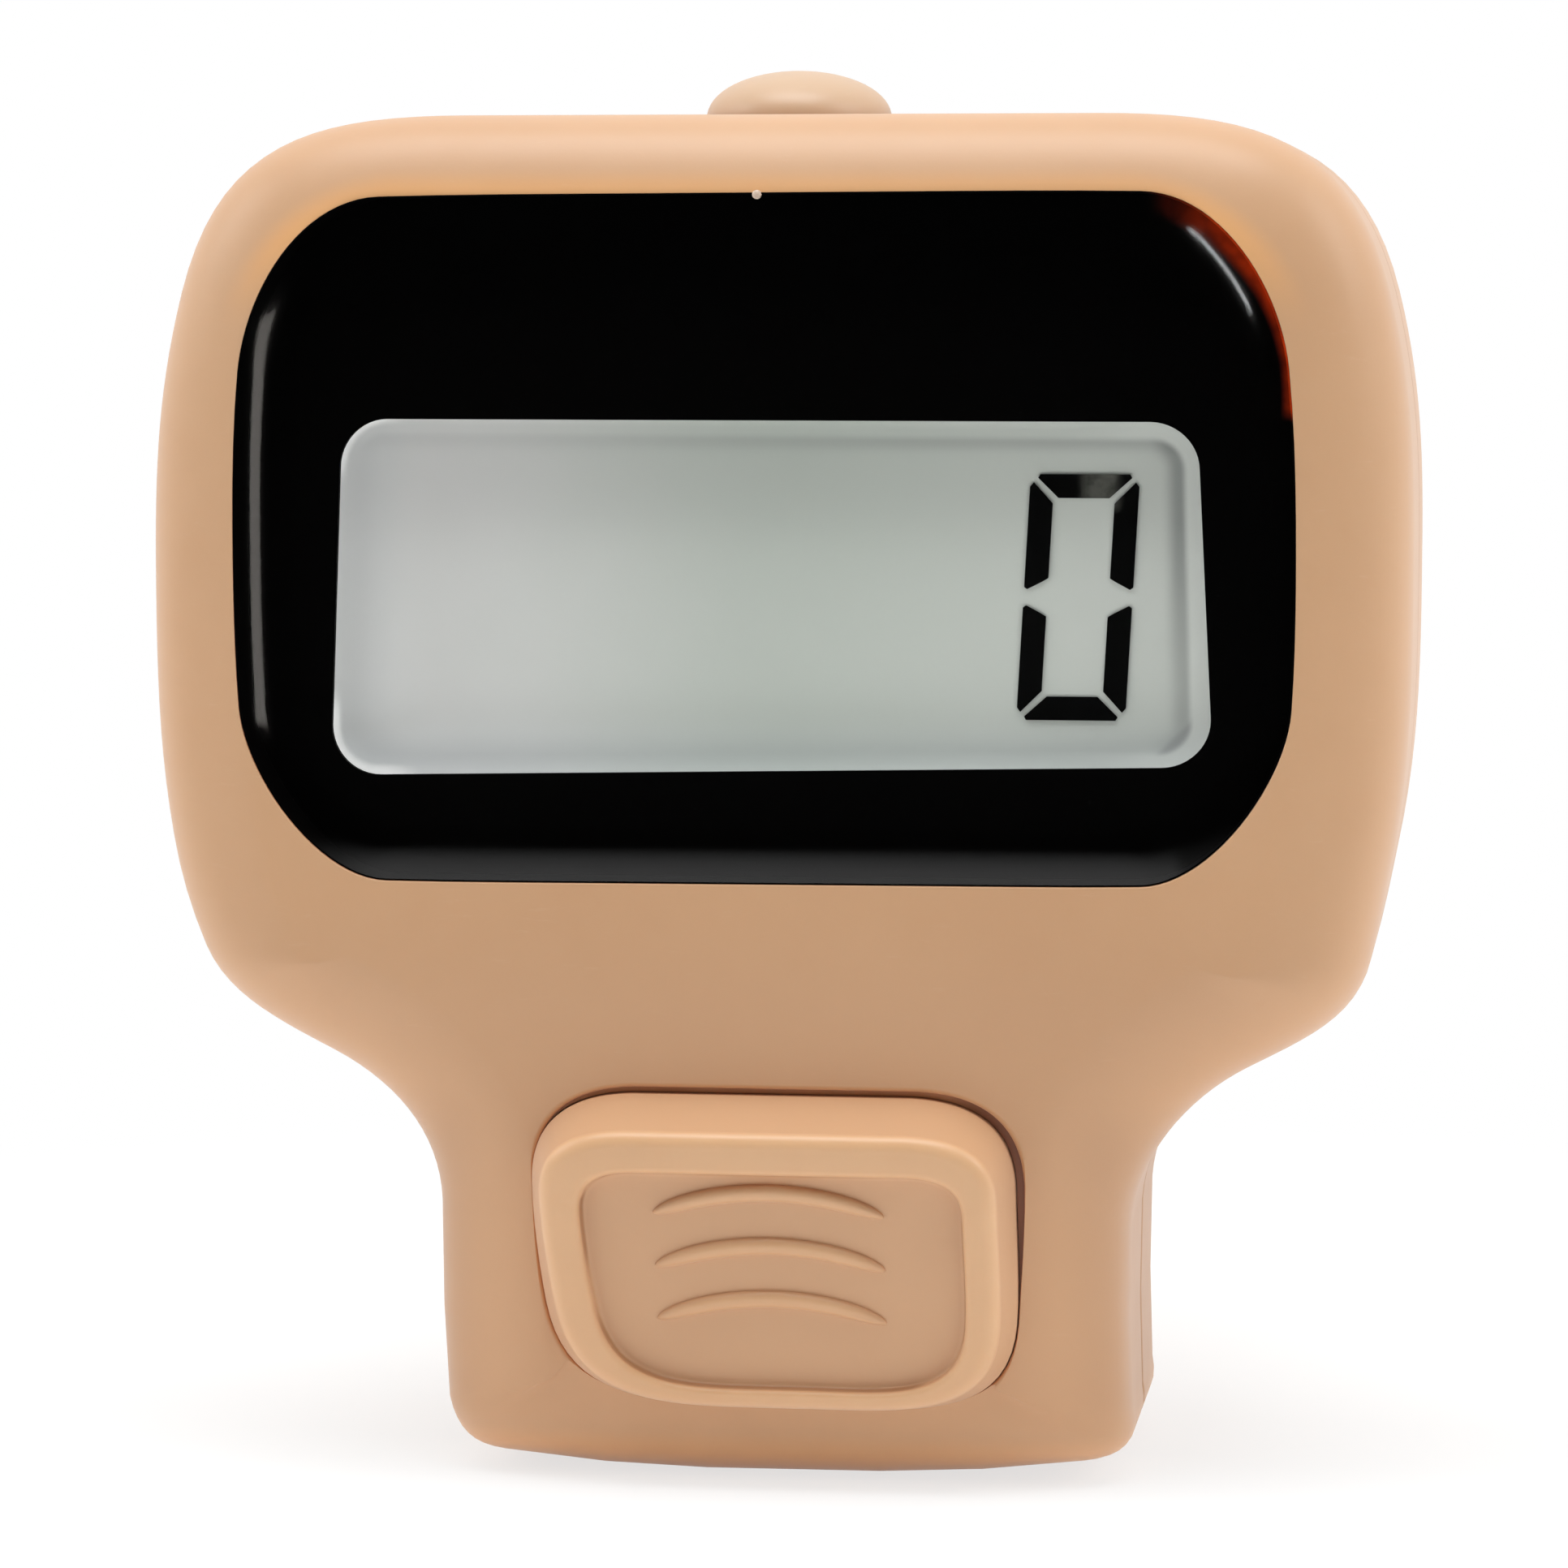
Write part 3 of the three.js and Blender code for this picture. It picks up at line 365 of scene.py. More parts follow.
def complete(piece, bodyName, material, nodes=(), angle=32, level=True):
    # cleaned, smoothed, given its finish and set on the body that it moves with
    onlyActive(piece)
    bpy.ops.object.mode_set(mode="EDIT")
    bpy.ops.mesh.select_all(action="SELECT")
    bpy.ops.mesh.remove_doubles(threshold=0.000002)
    bpy.ops.mesh.dissolve_degenerate(threshold=0.000002)
    bpy.ops.mesh.normals_make_consistent(inside=False)
    bpy.ops.object.mode_set(mode="OBJECT")
    bpy.ops.object.shade_smooth_by_angle(angle=math.radians(angle))
    if level:
        even = piece.modifiers.new("even", "WEIGHTED_NORMAL")
        even.keep_sharp = True
        even.weight = 60
        bpy.ops.object.modifier_apply(modifier=even.name)
    piece.data.materials.clear()
    piece.data.materials.append(material)
    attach(piece, bodyName)
    if nodes:
        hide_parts(*nodes)


# Shader maths

class Flow:
    # a node's output that is reckoned with as a number is
    def __init__(self, graph, socket):
        self.graph = graph
        self.socket = socket

    def __add__(self, other):
        return self.graph.maths("ADD", self, other)

    __radd__ = __add__

    def __sub__(self, other):
        return self.graph.maths("SUBTRACT", self, other)

    def __rsub__(self, other):
        return self.graph.maths("SUBTRACT", other, self)

    def __mul__(self, other):
        return self.graph.maths("MULTIPLY", self, other)

    __rmul__ = __mul__


def paint(red, green, blue):
    # a colour as it is seen on screen, turned into the light it stands for
    def linear(value):
        value = value / 255
        return value / 12.92 if value <= 0.04045 else ((value + 0.055) / 1.055) ** 2.4
    return (linear(red), linear(green), linear(blue), 1)


class Graph:
    # the nodes of a material, or of a world
    def __init__(self, name, kept=None):
        kept = bpy.data.materials if kept is None else kept
        self.owner = kept.new(name)
        self.owner.use_nodes = True
        self.tree = self.owner.node_tree
        self.tree.nodes.clear()

    def node(self, kind, settings=None, values=None, out=0):
        made = self.tree.nodes.new(kind)
        for key, value in (settings or {}).items():
            setattr(made, key, value)
        for key, value in (values or {}).items():
            socket = self.find(made.inputs, key)
            if isinstance(value, Flow):
                self.tree.links.new(value.socket, socket)
            else:
                socket.default_value = value
        return Flow(self, self.find(made.outputs, out)) if len(made.outputs) else None

    def find(self, sockets, key):
        if isinstance(key, int):
            return sockets[key]
        named = [s for s in sockets if s.identifier == key] or [s for s in sockets if s.name == key]
        return named[0]

    def maths(self, operation, a, b=0.0):
        return self.node("ShaderNodeMath", {"operation": operation}, {0: a, 1: b})

    def point(self):
        # millimetres, with the height counted from the base
        raw = self.node("ShaderNodeTexCoord", out="Object")
        return self.node(
            "ShaderNodeVectorMath", {"operation": "MULTIPLY_ADD"},
            {0: raw, 1: (1000, 1000, 1000), 2: (0, 0, loopHeight)},
        )

    def split(self, vector):
        made = self.node("ShaderNodeSeparateXYZ", values={0: vector})
        return [self.other(made, i) for i in range(3)]

    def other(self, flow, key):
        # another output of the same node
        return Flow(self, self.find(flow.socket.node.outputs, key))

    def stretch(self, vector, factors):
        return self.node("ShaderNodeVectorMath", {"operation": "MULTIPLY"}, {0: vector, 1: factors})

    def noise(self, vector, size, detail=2.0, roughness=0.5):
        # size is the width of a patch in millimetres
        return self.node(
            "ShaderNodeTexNoise", None,
            {"Vector": vector, "Scale": 1 / size, "Detail": detail, "Roughness": roughness},
        )

    def ease(self, value, low, high, a=0.0, b=1.0):
        return self.node(
            "ShaderNodeMapRange", {"interpolation_type": "SMOOTHSTEP"},
            {0: value, 1: low, 2: high, 3: a, 4: b},
        )

    def away(self, value, low, high):
        return self.ease(value, low, high, 1.0, 0.0)

    def band(self, value, low, full, fading, gone):
        return self.ease(value, low, full) * self.away(value, fading, gone)

    def mix(self, share, a, b):
        return self.node(
            "ShaderNodeMix", {"data_type": "RGBA"},
            {"Factor_Float": share, "A_Color": a, "B_Color": b}, "Result_Color",
        )

    def coated(self, colour, coats):
        # coats of a share and a colour, laid one over the other
        for share, tone in coats:
            colour = self.mix(share, colour, paint(*tone))
        return colour

    def bump(self, height, depth):
        # depth is how many millimetres a height of one stands for
        return self.node("ShaderNodeBump", None, {"Height": height, "Distance": depth * mm})

    def finished(self, shader):
        self.node("ShaderNodeOutputMaterial", None, {"Surface": shader})
        return self.owner

    def surface(self, values):
        return self.finished(self.node("ShaderNodeBsdfPrincipled", None, values))


# Finishes

def canvas(name):
    # a new graph with its point, and the point's parts
    g = Graph(name)
    p = g.point()
    return g, p, *g.split(p)


def insideBox(g, x, h, wide, tall, centre, corner):
    # millimetres inside the edge of a box with rounded corners
    dx = g.maths("ABSOLUTE", x - window["shift"]) - (wide / 2 - corner)
    dz = g.maths("ABSOLUTE", h - centre) - (tall / 2 - corner)
    outX, outZ = g.maths("MAXIMUM", dx, 0.0), g.maths("MAXIMUM", dz, 0.0)
    away = g.maths("SQRT", outX * outX + outZ * outZ)
    within = g.maths("MINIMUM", g.maths("MAXIMUM", dx, dz), 0.0)
    return corner - away - within


def insideWindow(g, x, h, corner):
    return insideBox(g, x, h, window["width"], window["height"], window["centre"], corner)


# each look's deep colour is painted warm shade for crevices, laid on by occlusion
plastic = {
    "case": {
        "light": (209, 165, 125), "dark": (204, 159, 119), "deep": (222, 128, 54),
        "closed": (0.15, 0.72), "roughness": 0.43, "grain": 0.0011,
    },
    "button": {
        "light": (217, 173, 130), "dark": (212, 167, 124), "deep": (218, 140, 76),
        "closed": (0.35, 0.92), "roughness": 0.4, "grain": 0.0008,
    },
    "reset": {
        "light": (205, 173, 141), "dark": (199, 166, 134), "deep": (236, 150, 78),
        "closed": (0.15, 0.5), "roughness": 0.42, "grain": 0.001,
    },
}

tints = {
    "scuff": (242, 220, 196), "recessAndFlankShade": (202, 157, 118), "recessWall": (166, 114, 72), "dust": (150, 108, 74),
    "footShade": (190, 143, 102), "neckSideShade": (176, 134, 98), "undersideLight": (242, 180, 118),
    "joint": (128, 66, 32), "lit": (246, 178, 104), "viewWall": (232, 234, 234),
    "recessBox": (9.4, 5.8, 5.1, 2.8), "viewWallWidth": 1.6,
}


def buttonTints(g, x, y, h):
    # painted shade: the recess and the flanks, which lie behind the sloping face, are darker
    rise = (buttonFace(button["high"]) - buttonFace(button["low"])) / button["height"]
    depth = y - (h - button["low"]) * rise - buttonFace(button["low"])
    # the recess's wall catches less light than its floor
    middle = insideBox(g, x + window["shift"], h, *tints["recessBox"])
    wall = g.band(depth, 0.1, 0.22, 0.38, 0.43) * g.band(middle, -0.05, 0.05, 0.55, 0.7)
    return [(g.ease(depth, 0.18, 0.36) * 0.8, tints["recessAndFlankShade"]), (wall * 0.7, tints["recessWall"])]


def caseTints(g, x, y, h):
    near = g.away(g.maths("ABSOLUTE", y - body["parting"]), 0.1, 0.34)
    aboveBase = g.ease(h, 0.6, 2.2)
    # painted shade: the case is darker towards the foot
    footShade = g.ease(h, 8.0, 20.0, 0.5, 0.0) * aboveBase
    # painted shade on the sides of the neck
    sides = g.ease(g.maths("ABSOLUTE", x), 6.3, 7.7) * g.away(h, 7.5, 9.5) * aboveBase
    # painted light: lighter and more orange round the base
    undersideLight = g.ease(h, 0.4, 1.3, 0.7, 0.0)
    # painted shade: the gap at the count button's right side is dark brown where the face flares into it
    flat = (body["slopeStart"] + body["slopeEnd"]) / 2
    sunk = y - body["front"] - (flat - h) * body["slope"]
    joint = g.ease(sunk, 0.12, 0.24) * g.band(x, 3.6, 5.0, 5.82, 5.88) * g.band(h, 4.0, 5.5, 9.3, 9.5)
    # light that comes through the thin edge over the window
    inside = insideWindow(g, x, h, window["corner"][1])
    lit = g.ease(inside, -0.6, 0.0) * g.ease(h, 26.0, 28.4) * g.away(y, -11.2, -10.4)
    # the wall round the view is pale
    more = tints["viewWallWidth"]
    wide, tall = window["viewBottom"] + more, window["viewHeight"] + more
    framing = g.ease(insideBox(g, x, h, wide, tall, window["viewCentre"], more), -0.1, 0.1)
    return [
        (near * 0.35, tints["dust"]), (footShade, tints["footShade"]), (sides * 0.55, tints["neckSideShade"]),
        (undersideLight, tints["undersideLight"]), (joint * 0.85, tints["joint"]), (lit * 0.5, tints["lit"]),
        (framing * g.ease(y, -10.3, -10.2), tints["viewWall"]),
    ]


def mouldedPlastic(name, look, tinting=None):
    # satin plastic: clouded colour, a fine eroded grain, faint scuffs, and painted warm shade in crevices
    # found by occlusion
    g = Graph(name)
    p = g.point()
    mottle = g.noise(p, 0.9, 4.0, 0.6)
    grain = g.noise(p, 0.085, 2.0, 0.7)
    scuffs = g.ease(g.noise(g.stretch(p, (1.0, 1.0, 7.0)), 1.1, 5.0, 0.7), 0.62, 0.74)
    share = g.ease(g.noise(p, 7.0, 3.0) * 0.8 + mottle * 0.2, 0.25, 0.75)
    # painted shade: occlusion lays a deeper, warmer colour into crevices and gaps
    closed = g.node("ShaderNodeAmbientOcclusion", {"samples": 8}, {"Distance": 0.5 * mm}, "AO")
    coats = [(scuffs * 0.06, tints["scuff"]), (g.away(closed, *look["closed"]) * 0.85, look["deep"])]
    if tinting:
        coats += tinting(g, *g.split(p))
    return g.surface({
        "Base Color": g.coated(g.mix(share, paint(*look["dark"]), paint(*look["light"])), coats),
        "Roughness": look["roughness"] + (mottle - 0.5) * 0.1 + scuffs * 0.06,
        "Normal": g.bump(grain + scuffs * 0.4, look["grain"]),
        "Specular IOR Level": 0.62, "Subsurface Weight": 0.06, "Subsurface Scale": 0.0006,
        "Subsurface Radius": (1.0, 0.45, 0.25),
        "Sheen Weight": 0.2, "Sheen Roughness": 0.5, "Sheen Tint": (1.0, 0.88, 0.82, 1.0),
    })


def lensClear():
    # clear acrylic: see-through, with the gloss of its skin and faint wiping marks in that gloss
    g = Graph("lensClear")
    p = g.point()
    smears = g.noise(g.stretch(p, (1.0, 1.0, 0.35)), 2.2, 4.0, 0.6)
    roughness = g.ease(smears, 0.45, 0.8, 0.07, 0.14)
    gloss = g.node("ShaderNodeBsdfGlossy", None, {"Color": (1, 1, 1, 1), "Roughness": roughness})
    clear = g.node("ShaderNodeBsdfTransparent", None, {"Color": (0.98, 0.985, 0.98, 1)})
    facing = g.node("ShaderNodeFresnel", None, {"IOR": 1.49})
    back = g.node("ShaderNodeNewGeometry", out="Backfacing")
    return g.finished(g.node("ShaderNodeMixShader", None, {0: facing * (1 - back), 1: clear, 2: gloss}))


film = {
    "left": (244, 242, 242), "middle": (212, 218, 211), "right": (229, 232, 227),
    "cloud": (205, 215, 205), "line": (126, 130, 130), "smear": (150, 150, 152),
    "edgeGlow": (140, 145, 150), "shine": (244, 244, 244), "glow": 0.4,
    # what the slanting view through the window moves the view's outline by on the film
    "over": (0.16, 0.05), "grown": (0.18, 0.12), "spread": 0.0033,
}


def displayFilm():
    # grey-green polariser, lighter to the left, partly its own tint and partly painted light, with a
    # painted shadow of the border as a soft line inside it
    g, p, x, _, h = canvas("displayFilm")
    tone = g.coated(paint(*film["left"]), [
        (g.ease(x, -9.5, 0.5), film["middle"]), (g.ease(x, -1.5, 9.5), film["right"]),
        (g.ease(g.noise(p, 3.5, 2.0), 0.3, 0.7) * 0.12, film["cloud"]),
    ])
    up = h - window["viewCentre"]
    rise, taper, scale = window["viewSkew"]
    level = (up - x * rise) * (x * taper + scale) + window["viewCentre"]
    across = x * (up * film["spread"] + 1)
    inside = insideBox(
        g, across + film["over"][0], level + film["over"][1],
        (window["viewTop"] + window["viewBottom"]) / 2 + film["grown"][0],
        window["viewHeight"] + film["grown"][1], window["viewCentre"], window["viewCorner"],
    )
    # painted shadow of the border: a soft dark line inside it, mostly at the right and the top
    rightward = g.ease(x, 8.2, 8.9) * g.ease(h, 17.6, 22.4, 0.3, 0.55)
    upward = g.ease(h, 23.3, 23.7) * g.ease(x, -8.0, 6.0, 0.25, 1.0) * 0.3
    line = g.band(inside, 0.3, 0.5, 0.55, 1.0) * (0.04 + rightward + upward)
    # a greyer smear across the lower right corner
    smear = g.band(x - up, 11.9, 12.15, 12.2, 12.6) * g.ease(inside, 0.3, 0.45)
    # the border's edge shines in the film, most at the corners on the left
    corners = g.ease(g.maths("ABSOLUTE", up) - x, 12.3, 13.2)
    narrow, broad = g.away(inside, 0.06, 0.26), g.away(inside, 0.3, 0.5)
    shining = g.maths("MAXIMUM", narrow * (corners * 0.85 + 0.1), broad * g.ease(x, 6.0, 9.0, 0.0, 0.22))
    grit = g.noise(p, 0.06, 1.0)
    # painted light: the border stands proud of the film, so the film's left and bottom edges are given a
    # glow against its shadow
    edgeGlow = g.maths("MAXIMUM", g.away(h, 16.3, 17.7), g.ease(x, -9.6, -7.8, 0.4, 0.0))
    return g.surface({
        "Base Color": g.coated(tone, [(line, film["line"]), (smear * 0.45, film["smear"])]),
        "Roughness": 0.42 + grit * 0.1, "Specular IOR Level": 0.3, "Normal": g.bump(grit, 0.0006),
        "Emission Color": g.coated(paint(0, 0, 0), [(edgeGlow, film["edgeGlow"]), (shining, film["shine"])]),
        "Emission Strength": film["glow"],
    })


def blackPrint():
    # dense black, with a painted reflection of the case's warm colour along the edge at the upper right
    g, p, x, _, h = canvas("blackPrint")
    specks = g.ease(g.noise(p, 0.22, 2.0, 0.4), 0.76, 0.82)
    colour = g.mix(specks * 0.5, paint(3, 2, 2), paint(24, 22, 23))
    inside = insideWindow(g, x, h, window["glowCorner"])
    caseReflection = g.away(inside, 0.1, 0.45) * g.ease(x, 8.2, 11.0) * g.ease(h, 24.15, 24.5)
    patchy = g.ease(g.noise(p, 0.7, 2.0), 0.4, 0.62, 0.6, 1.0)
    colour = g.mix(caseReflection * patchy, colour, paint(206, 62, 12))
    return g.surface({
        "Base Color": colour, "Roughness": 0.5 + g.noise(p, 1.5) * 0.2, "Specular IOR Level": 0.05,
        "Normal": g.bump(g.noise(p, 0.12), 0.0008),
    })


def segmentInk():
    # switched-on liquid crystal: near black, lighter grey at the right of the top bar
    g, p, x, _, h = canvas("segmentInk")
    greyPatch = g.ease(h, 22.05, 22.3) * g.band(x, 6.62, 7.0, 7.4, 7.75)
    mottle = g.ease(g.noise(p, 0.35, 3.0), 0.35, 0.65)
    colour = g.mix(greyPatch * (0.45 + mottle * 0.45), paint(8, 8, 8), paint(104, 104, 98))
    return g.surface({"Base Color": colour, "Roughness": 0.5 + mottle * 0.1, "Specular IOR Level": 0.08})


def softRubber(name, light, dark, grain=0.2, roughness=0.62):
    g = Graph(name)
    p = g.point()
    cloud = g.noise(p, 4.0, 3.0)
    fine = g.noise(p, grain, 3.0, 0.6)
    dust = g.ease(g.noise(p, 0.5, 5.0, 0.75), 0.6, 0.78)
    colour = g.mix(g.ease(cloud, 0.35, 0.65), paint(*dark), paint(*light))
    colour = g.mix(dust * 0.1, colour, paint(226, 216, 204))
    return g.surface({
        "Base Color": colour, "Roughness": roughness + (fine - 0.5) * 0.2 + dust * 0.08,
        "Normal": g.bump(fine + cloud, 0.003), "Specular IOR Level": 0.35,
        "Sheen Weight": 0.08, "Sheen Roughness": 0.5,
    })


def brushedSteel(name, tone, along=(1.0, 1.0, 1.0), roughness=0.28):
    g = Graph(name)
    p = g.point()
    streaks = g.noise(g.stretch(p, along), 0.16, 3.0, 0.6)
    stain = g.ease(g.noise(p, 1.3, 4.0, 0.65), 0.52, 0.75)
    colour = g.mix(stain * 0.3, paint(*tone), paint(142, 134, 124))
    return g.surface({
        "Base Color": colour, "Metallic": 1.0, "Roughness": roughness + streaks * 0.14 + stain * 0.12,
        "Normal": g.bump(streaks, 0.0014),
    })


def laminateGreen():
    # solder mask over copper: faint tracks and plated pads
    g, p, x, *_ = canvas("laminateGreen")
    tracks = g.away(g.maths("PINGPONG", x * 0.9 + g.noise(p, 3.0) * 2.2, 0.5), 0.16, 0.22)
    colour = g.mix(tracks * 0.5, paint(30, 98, 58), paint(62, 128, 74))
    colour = g.mix(g.noise(p, 0.4, 3.0) * 0.15, colour, paint(18, 70, 40))
    return g.surface({
        "Base Color": colour, "Roughness": 0.34 + g.noise(p, 0.8) * 0.12,
        "Normal": g.bump(tracks, 0.02), "Coat Weight": 0.2,
    })


def smallMoulding(name, light, dark, roughness=0.45, size=0.5):
    g = Graph(name)
    p = g.point()
    cloud = g.ease(g.noise(p, size, 3.0), 0.35, 0.65)
    fine = g.noise(p, 0.07, 2.0)
    return g.surface({
        "Base Color": g.mix(cloud, paint(*dark), paint(*light)),
        "Roughness": roughness + (fine - 0.5) * 0.15 + cloud * 0.05, "Normal": g.bump(fine + cloud, 0.002),
    })


finish = {
    "case": mouldedPlastic("casePlastic", plastic["case"], caseTints),
    "button": mouldedPlastic("buttonPlastic", plastic["button"], buttonTints),
    "reset": mouldedPlastic("resetPlastic", plastic["reset"]),
    "lens": lensClear(),
    "gate": smallMoulding("gateAcrylic", (226, 204, 184), (196, 170, 150), 0.35, 0.1),
    "print": blackPrint(),
    "film": displayFilm(),
    "ink": segmentInk(),
    "strap": softRubber("strapRubber", (213, 171, 132), (208, 165, 126)),
    "steel": brushedSteel("screwSteel", (206, 208, 210)),
    "pinSteel": brushedSteel("pinSteel", (200, 203, 206), (0.3, 1.0, 1.0), 0.22),
    "springSteel": brushedSteel("springSteel", (214, 210, 196), (1.0, 1.0, 0.3), 0.2),
    "cellSteel": brushedSteel("cellSteel", (204, 205, 204), (0.5, 1.0, 0.5), 0.24),
    "laminate": laminateGreen(),
    "epoxy": smallMoulding("epoxyBlack", (28, 28, 30), (16, 16, 18), 0.26, 1.0),
    "ceramic": smallMoulding("ceramicTan", (196, 170, 136), (176, 148, 112), 0.4),
    "switch": smallMoulding("switchBlack", (44, 44, 48), (30, 30, 33), 0.5),
    "silicone": softRubber("domeSilicone", (158, 161, 166), (140, 143, 149)),
    "carbon": softRubber("pillCarbon", (46, 46, 48), (34, 34, 36)),
    "zebra": softRubber("zebraRubber", (214, 142, 150), (198, 122, 132)),
    "foam": softRubber("foamGrey", (110, 110, 112), (84, 84, 88), 0.12, 0.85),
    "seal": softRubber("sealNylon", (118, 122, 128), (98, 102, 110)),
}

carried = {
    "lcd_polariser": "film", "lcd_front_glass": "film", "lcd_rear_glass": "film", "lcd_reflector": "film",
    "lcd_foam_pad": "foam", "zebra_strip": "zebra", "circuit_board": "laminate", "chip_cover": "epoxy",
    "board_capacitor": "ceramic", "board_resistor": "epoxy", "count_dome": "silicone",
    "count_contact_pill": "carbon", "reset_switch_body": "switch", "reset_switch_plunger": "switch",
    "cell_can": "cellSteel", "cell_cap": "cellSteel", "cell_seal": "seal",
    "cell_minus_spring": "springSteel", "cell_plus_spring": "springSteel",
}
for node, look in carried.items():
    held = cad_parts[node]
    if not held.material_slots:
        held.data.materials.append(finish[look])
    for holder in held.material_slots:
        holder.material = finish[look]
print("finishes made")


# Case shells

def flaredCutter(name, outline, inset, mouth, floor, lip, beyond=4):
    # a cutter that leaves a rounded lip of this radius where it enters the face
    rings = [ringAt(outline(inset - lip), mouth - beyond), ringAt(outline(inset - lip), mouth)]
    for inward, down in arcSteps(4)[1:]:
        rings.append(ringAt(outline(inset - lip * inward), mouth + lip * down))
    rings.append(ringAt(outline(inset), floor))
    return ringSolid(name, rings)


def resetBore():
    top, radius = body["height"], reset["radius"] + reset["clearance"]
    profile = [(radius, top - reset["boreDepth"]), (radius, top - reset["lip"])]
    profile += flare(radius, reset["lip"], top)
    return turnedZ("resetCutter", profile, reset["shift"], body["parting"])


reset = {
    "radius": 2.14, "rise": 1.12, "fullness": 0.94, "clearance": 0.16, "shift": -0.16,
    "flangeRadius": 2.65, "flangeTop": 29.6, "flangeThickness": 0.6,
    "stemRadius": 0.8, "stemFoot": 28.3, "lip": 0.1, "boreDepth": 2.3,
}

shell = {
    "crownInset": 2.75, "crownDrop": 0.2, "frontInset": 1.75, "frontDepth": 2.4, "bendRows": 9,
    "rearInset": 1.6, "rearDepth": 1.7, "edgeSteps": 10, "partingRound": 0.16,
    "wall": 1.3, "innerFront": -9.2, "plateInner": -1.3, "cutDepth": -3,
    "into": -0.9, "lip": 0.14,
}

screws = {
    "case_screw_top_left": (-8.6, 28.4), "case_screw_top_right": (8.6, 28.4),
    "case_screw_hip_left": (-9.9, 12.2), "case_screw_hip_right": (9.9, 12.2),
}

screw = {
    "headRadius": 1.3, "headHeight": 0.8, "recess": 1.2, "play": 0.2, "shank": 0.55, "length": 4.5,
    "rim": 0.28, "cross": (1.5, 0.34, 0.45), "padRadius": 2.1, "padDepth": 2.3, "boreFoot": -3.4,
}

door = {
    "radius": 7.2, "clearance": 0.2, "flange": 0.8, "seatGap": 0.1, "hubRadius": 6.35, "hubDepth": 2.25,
    "slotLength": 9.0, "slotWidth": 1.5, "slotDepth": 0.7, "well": 8.2, "cellRadius": 5.8, "wellPlay": 0.3,
    "tabRadius": 7.05, "tabThickness": 0.42, "tabAngle": 24, "tabRoom": (-2.32, -1.71),
    "tabs": (90, 210, 330), "wellFoot": -5.78, "boreFoot": -2.0, "edge": 0.18, "lip": 0.1,
}

strap = {
    "inner": 9.7, "thickness": 1.5, "width": 8.4, "centre": 7.0, "standOff": 1.6, "knuckle": 1.4,
    "pinRadius": 0.5, "pinPlay": 0.08, "pinLength": 11.2, "lugThickness": 1.4, "lugRadius": 1.4,
    "lugPlay": 0.2, "tongueWidth": 3.4, "forkPlay": 0.3, "tongueReach": -16, "tongueShoulder": 17,
    "forkReach": -3, "forkSlot": 35, "edge": 0.32, "lugEdge": 0.22, "lugFoot": -0.4, "knuckleEdge": 0.2,
    "pinEdge": 0.12, "turns": 22, "tongueSteps": 9,
}


def strapHeight(side):
    # the height of a pin, above or below the finger
    return loopHeight + side * (strap["inner"] + strap["thickness"] / 2)


def makeFrontCase():
    front = body["front"]
    back = body["parting"] - body["partingGap"] / 2
    # the rim falls away gently from the window, then rounds over into the side
    profile = smoothHalf([
        (shell["crownInset"], 0, -1, 0.04),
        (shell["frontInset"], shell["crownDrop"], -1, 0.34, 5, 0.33),
        (0, shell["frontDepth"], 0, 1, 11, 0.44),
    ])
    rings = [ringAt(bodyOutline(p.x), front + p.y) for p in profile]
    curl = shell["partingRound"]
    rings.append(ringAt(bodyOutline(0), back - curl))
    for inward, down in arcSteps(3)[-2::-1]:
        rings.append(ringAt(bodyOutline(body["partingInset"] * inward), back - curl * down))
    case = ringSolid("case_front_shell", rings)

    carve(case, flaredCutter("windowCutter", windowOutline, 0, front, window["ledge"], window["lip"]))
    gap = button["gap"]
    carve(case, flaredCutter("buttonCutter", openingOutline, 0, front, front + gap["depth"], button["lip"]))
    carve(case, slab("throat", buttonOutline(-gap["throat"]), front - 1, shell["cutDepth"]))
    carve(case, slab("viewCutter", viewOutline(window["viewRoom"]), front - 1, shell["cutDepth"]))

    onlyActive(case)
    bpy.ops.object.mode_set(mode="EDIT")
    for i in range(shell["bendRows"] + 1):
        # rows across the bend between head and neck, so that it can be eased
        h = body["slopeEnd"] + (body["slopeStart"] - body["slopeEnd"]) * i / shell["bendRows"]
        bpy.ops.mesh.select_all(action="SELECT")
        bpy.ops.mesh.bisect(plane_co=place(0, 0, h), plane_no=(0, 0, 1))
    bpy.ops.mesh.select_all(action="DESELECT")
    mesh = bmesh.from_edit_mesh(case.data)
    full = front + shell["frontDepth"]
    for vert in mesh.verts:
        y, h = vert.co.y / mm, vert.co.z / mm + loopHeight
        share = min(1, max(0, (back - curl - y) / (back - curl - full)))
        vert.co.y += slopeAt(h) * share * mm
    bmesh.update_edit_mesh(case.data)
    bpy.ops.object.mode_set(mode="OBJECT")

    carve(case, slab("hollow", bodyOutline(shell["wall"]), shell["innerFront"], 1))
    carve(case, resetBore())
    complete(case, "case", finish["case"], ["front_case"])


def lugRing(outline, h, x, inset):
    centre = strap["standOff"]
    shrink = 1 - inset / strap["lugRadius"]
    return [place(x, centre + (y - centre) * shrink if y > 0 else y, h + z * shrink) for y, z in outline]


def makeLug(side, end):
    inner = strap["width"] / 2 + strap["lugPlay"]
    x0, x1 = sorted((end * inner, end * (inner + strap["lugThickness"])))
    h, r, edge, foot = strapHeight(side), strap["lugRadius"], strap["lugEdge"], strap["lugFoot"]
    nose = [(strap["standOff"] + c, s) for c, s in arc(r, -90, 90, 24)]
    outline = [(foot, -r), *nose, (foot, r)]
    rings = [lugRing(outline, h, x0 + edge * down, edge * inward) for inward, down in arcSteps(4)]
    rings += [lugRing(outline, h, x1 - edge * down, edge * inward) for inward, down in arcSteps(4)[::-1]]
    return ringSolid("lug", rings)


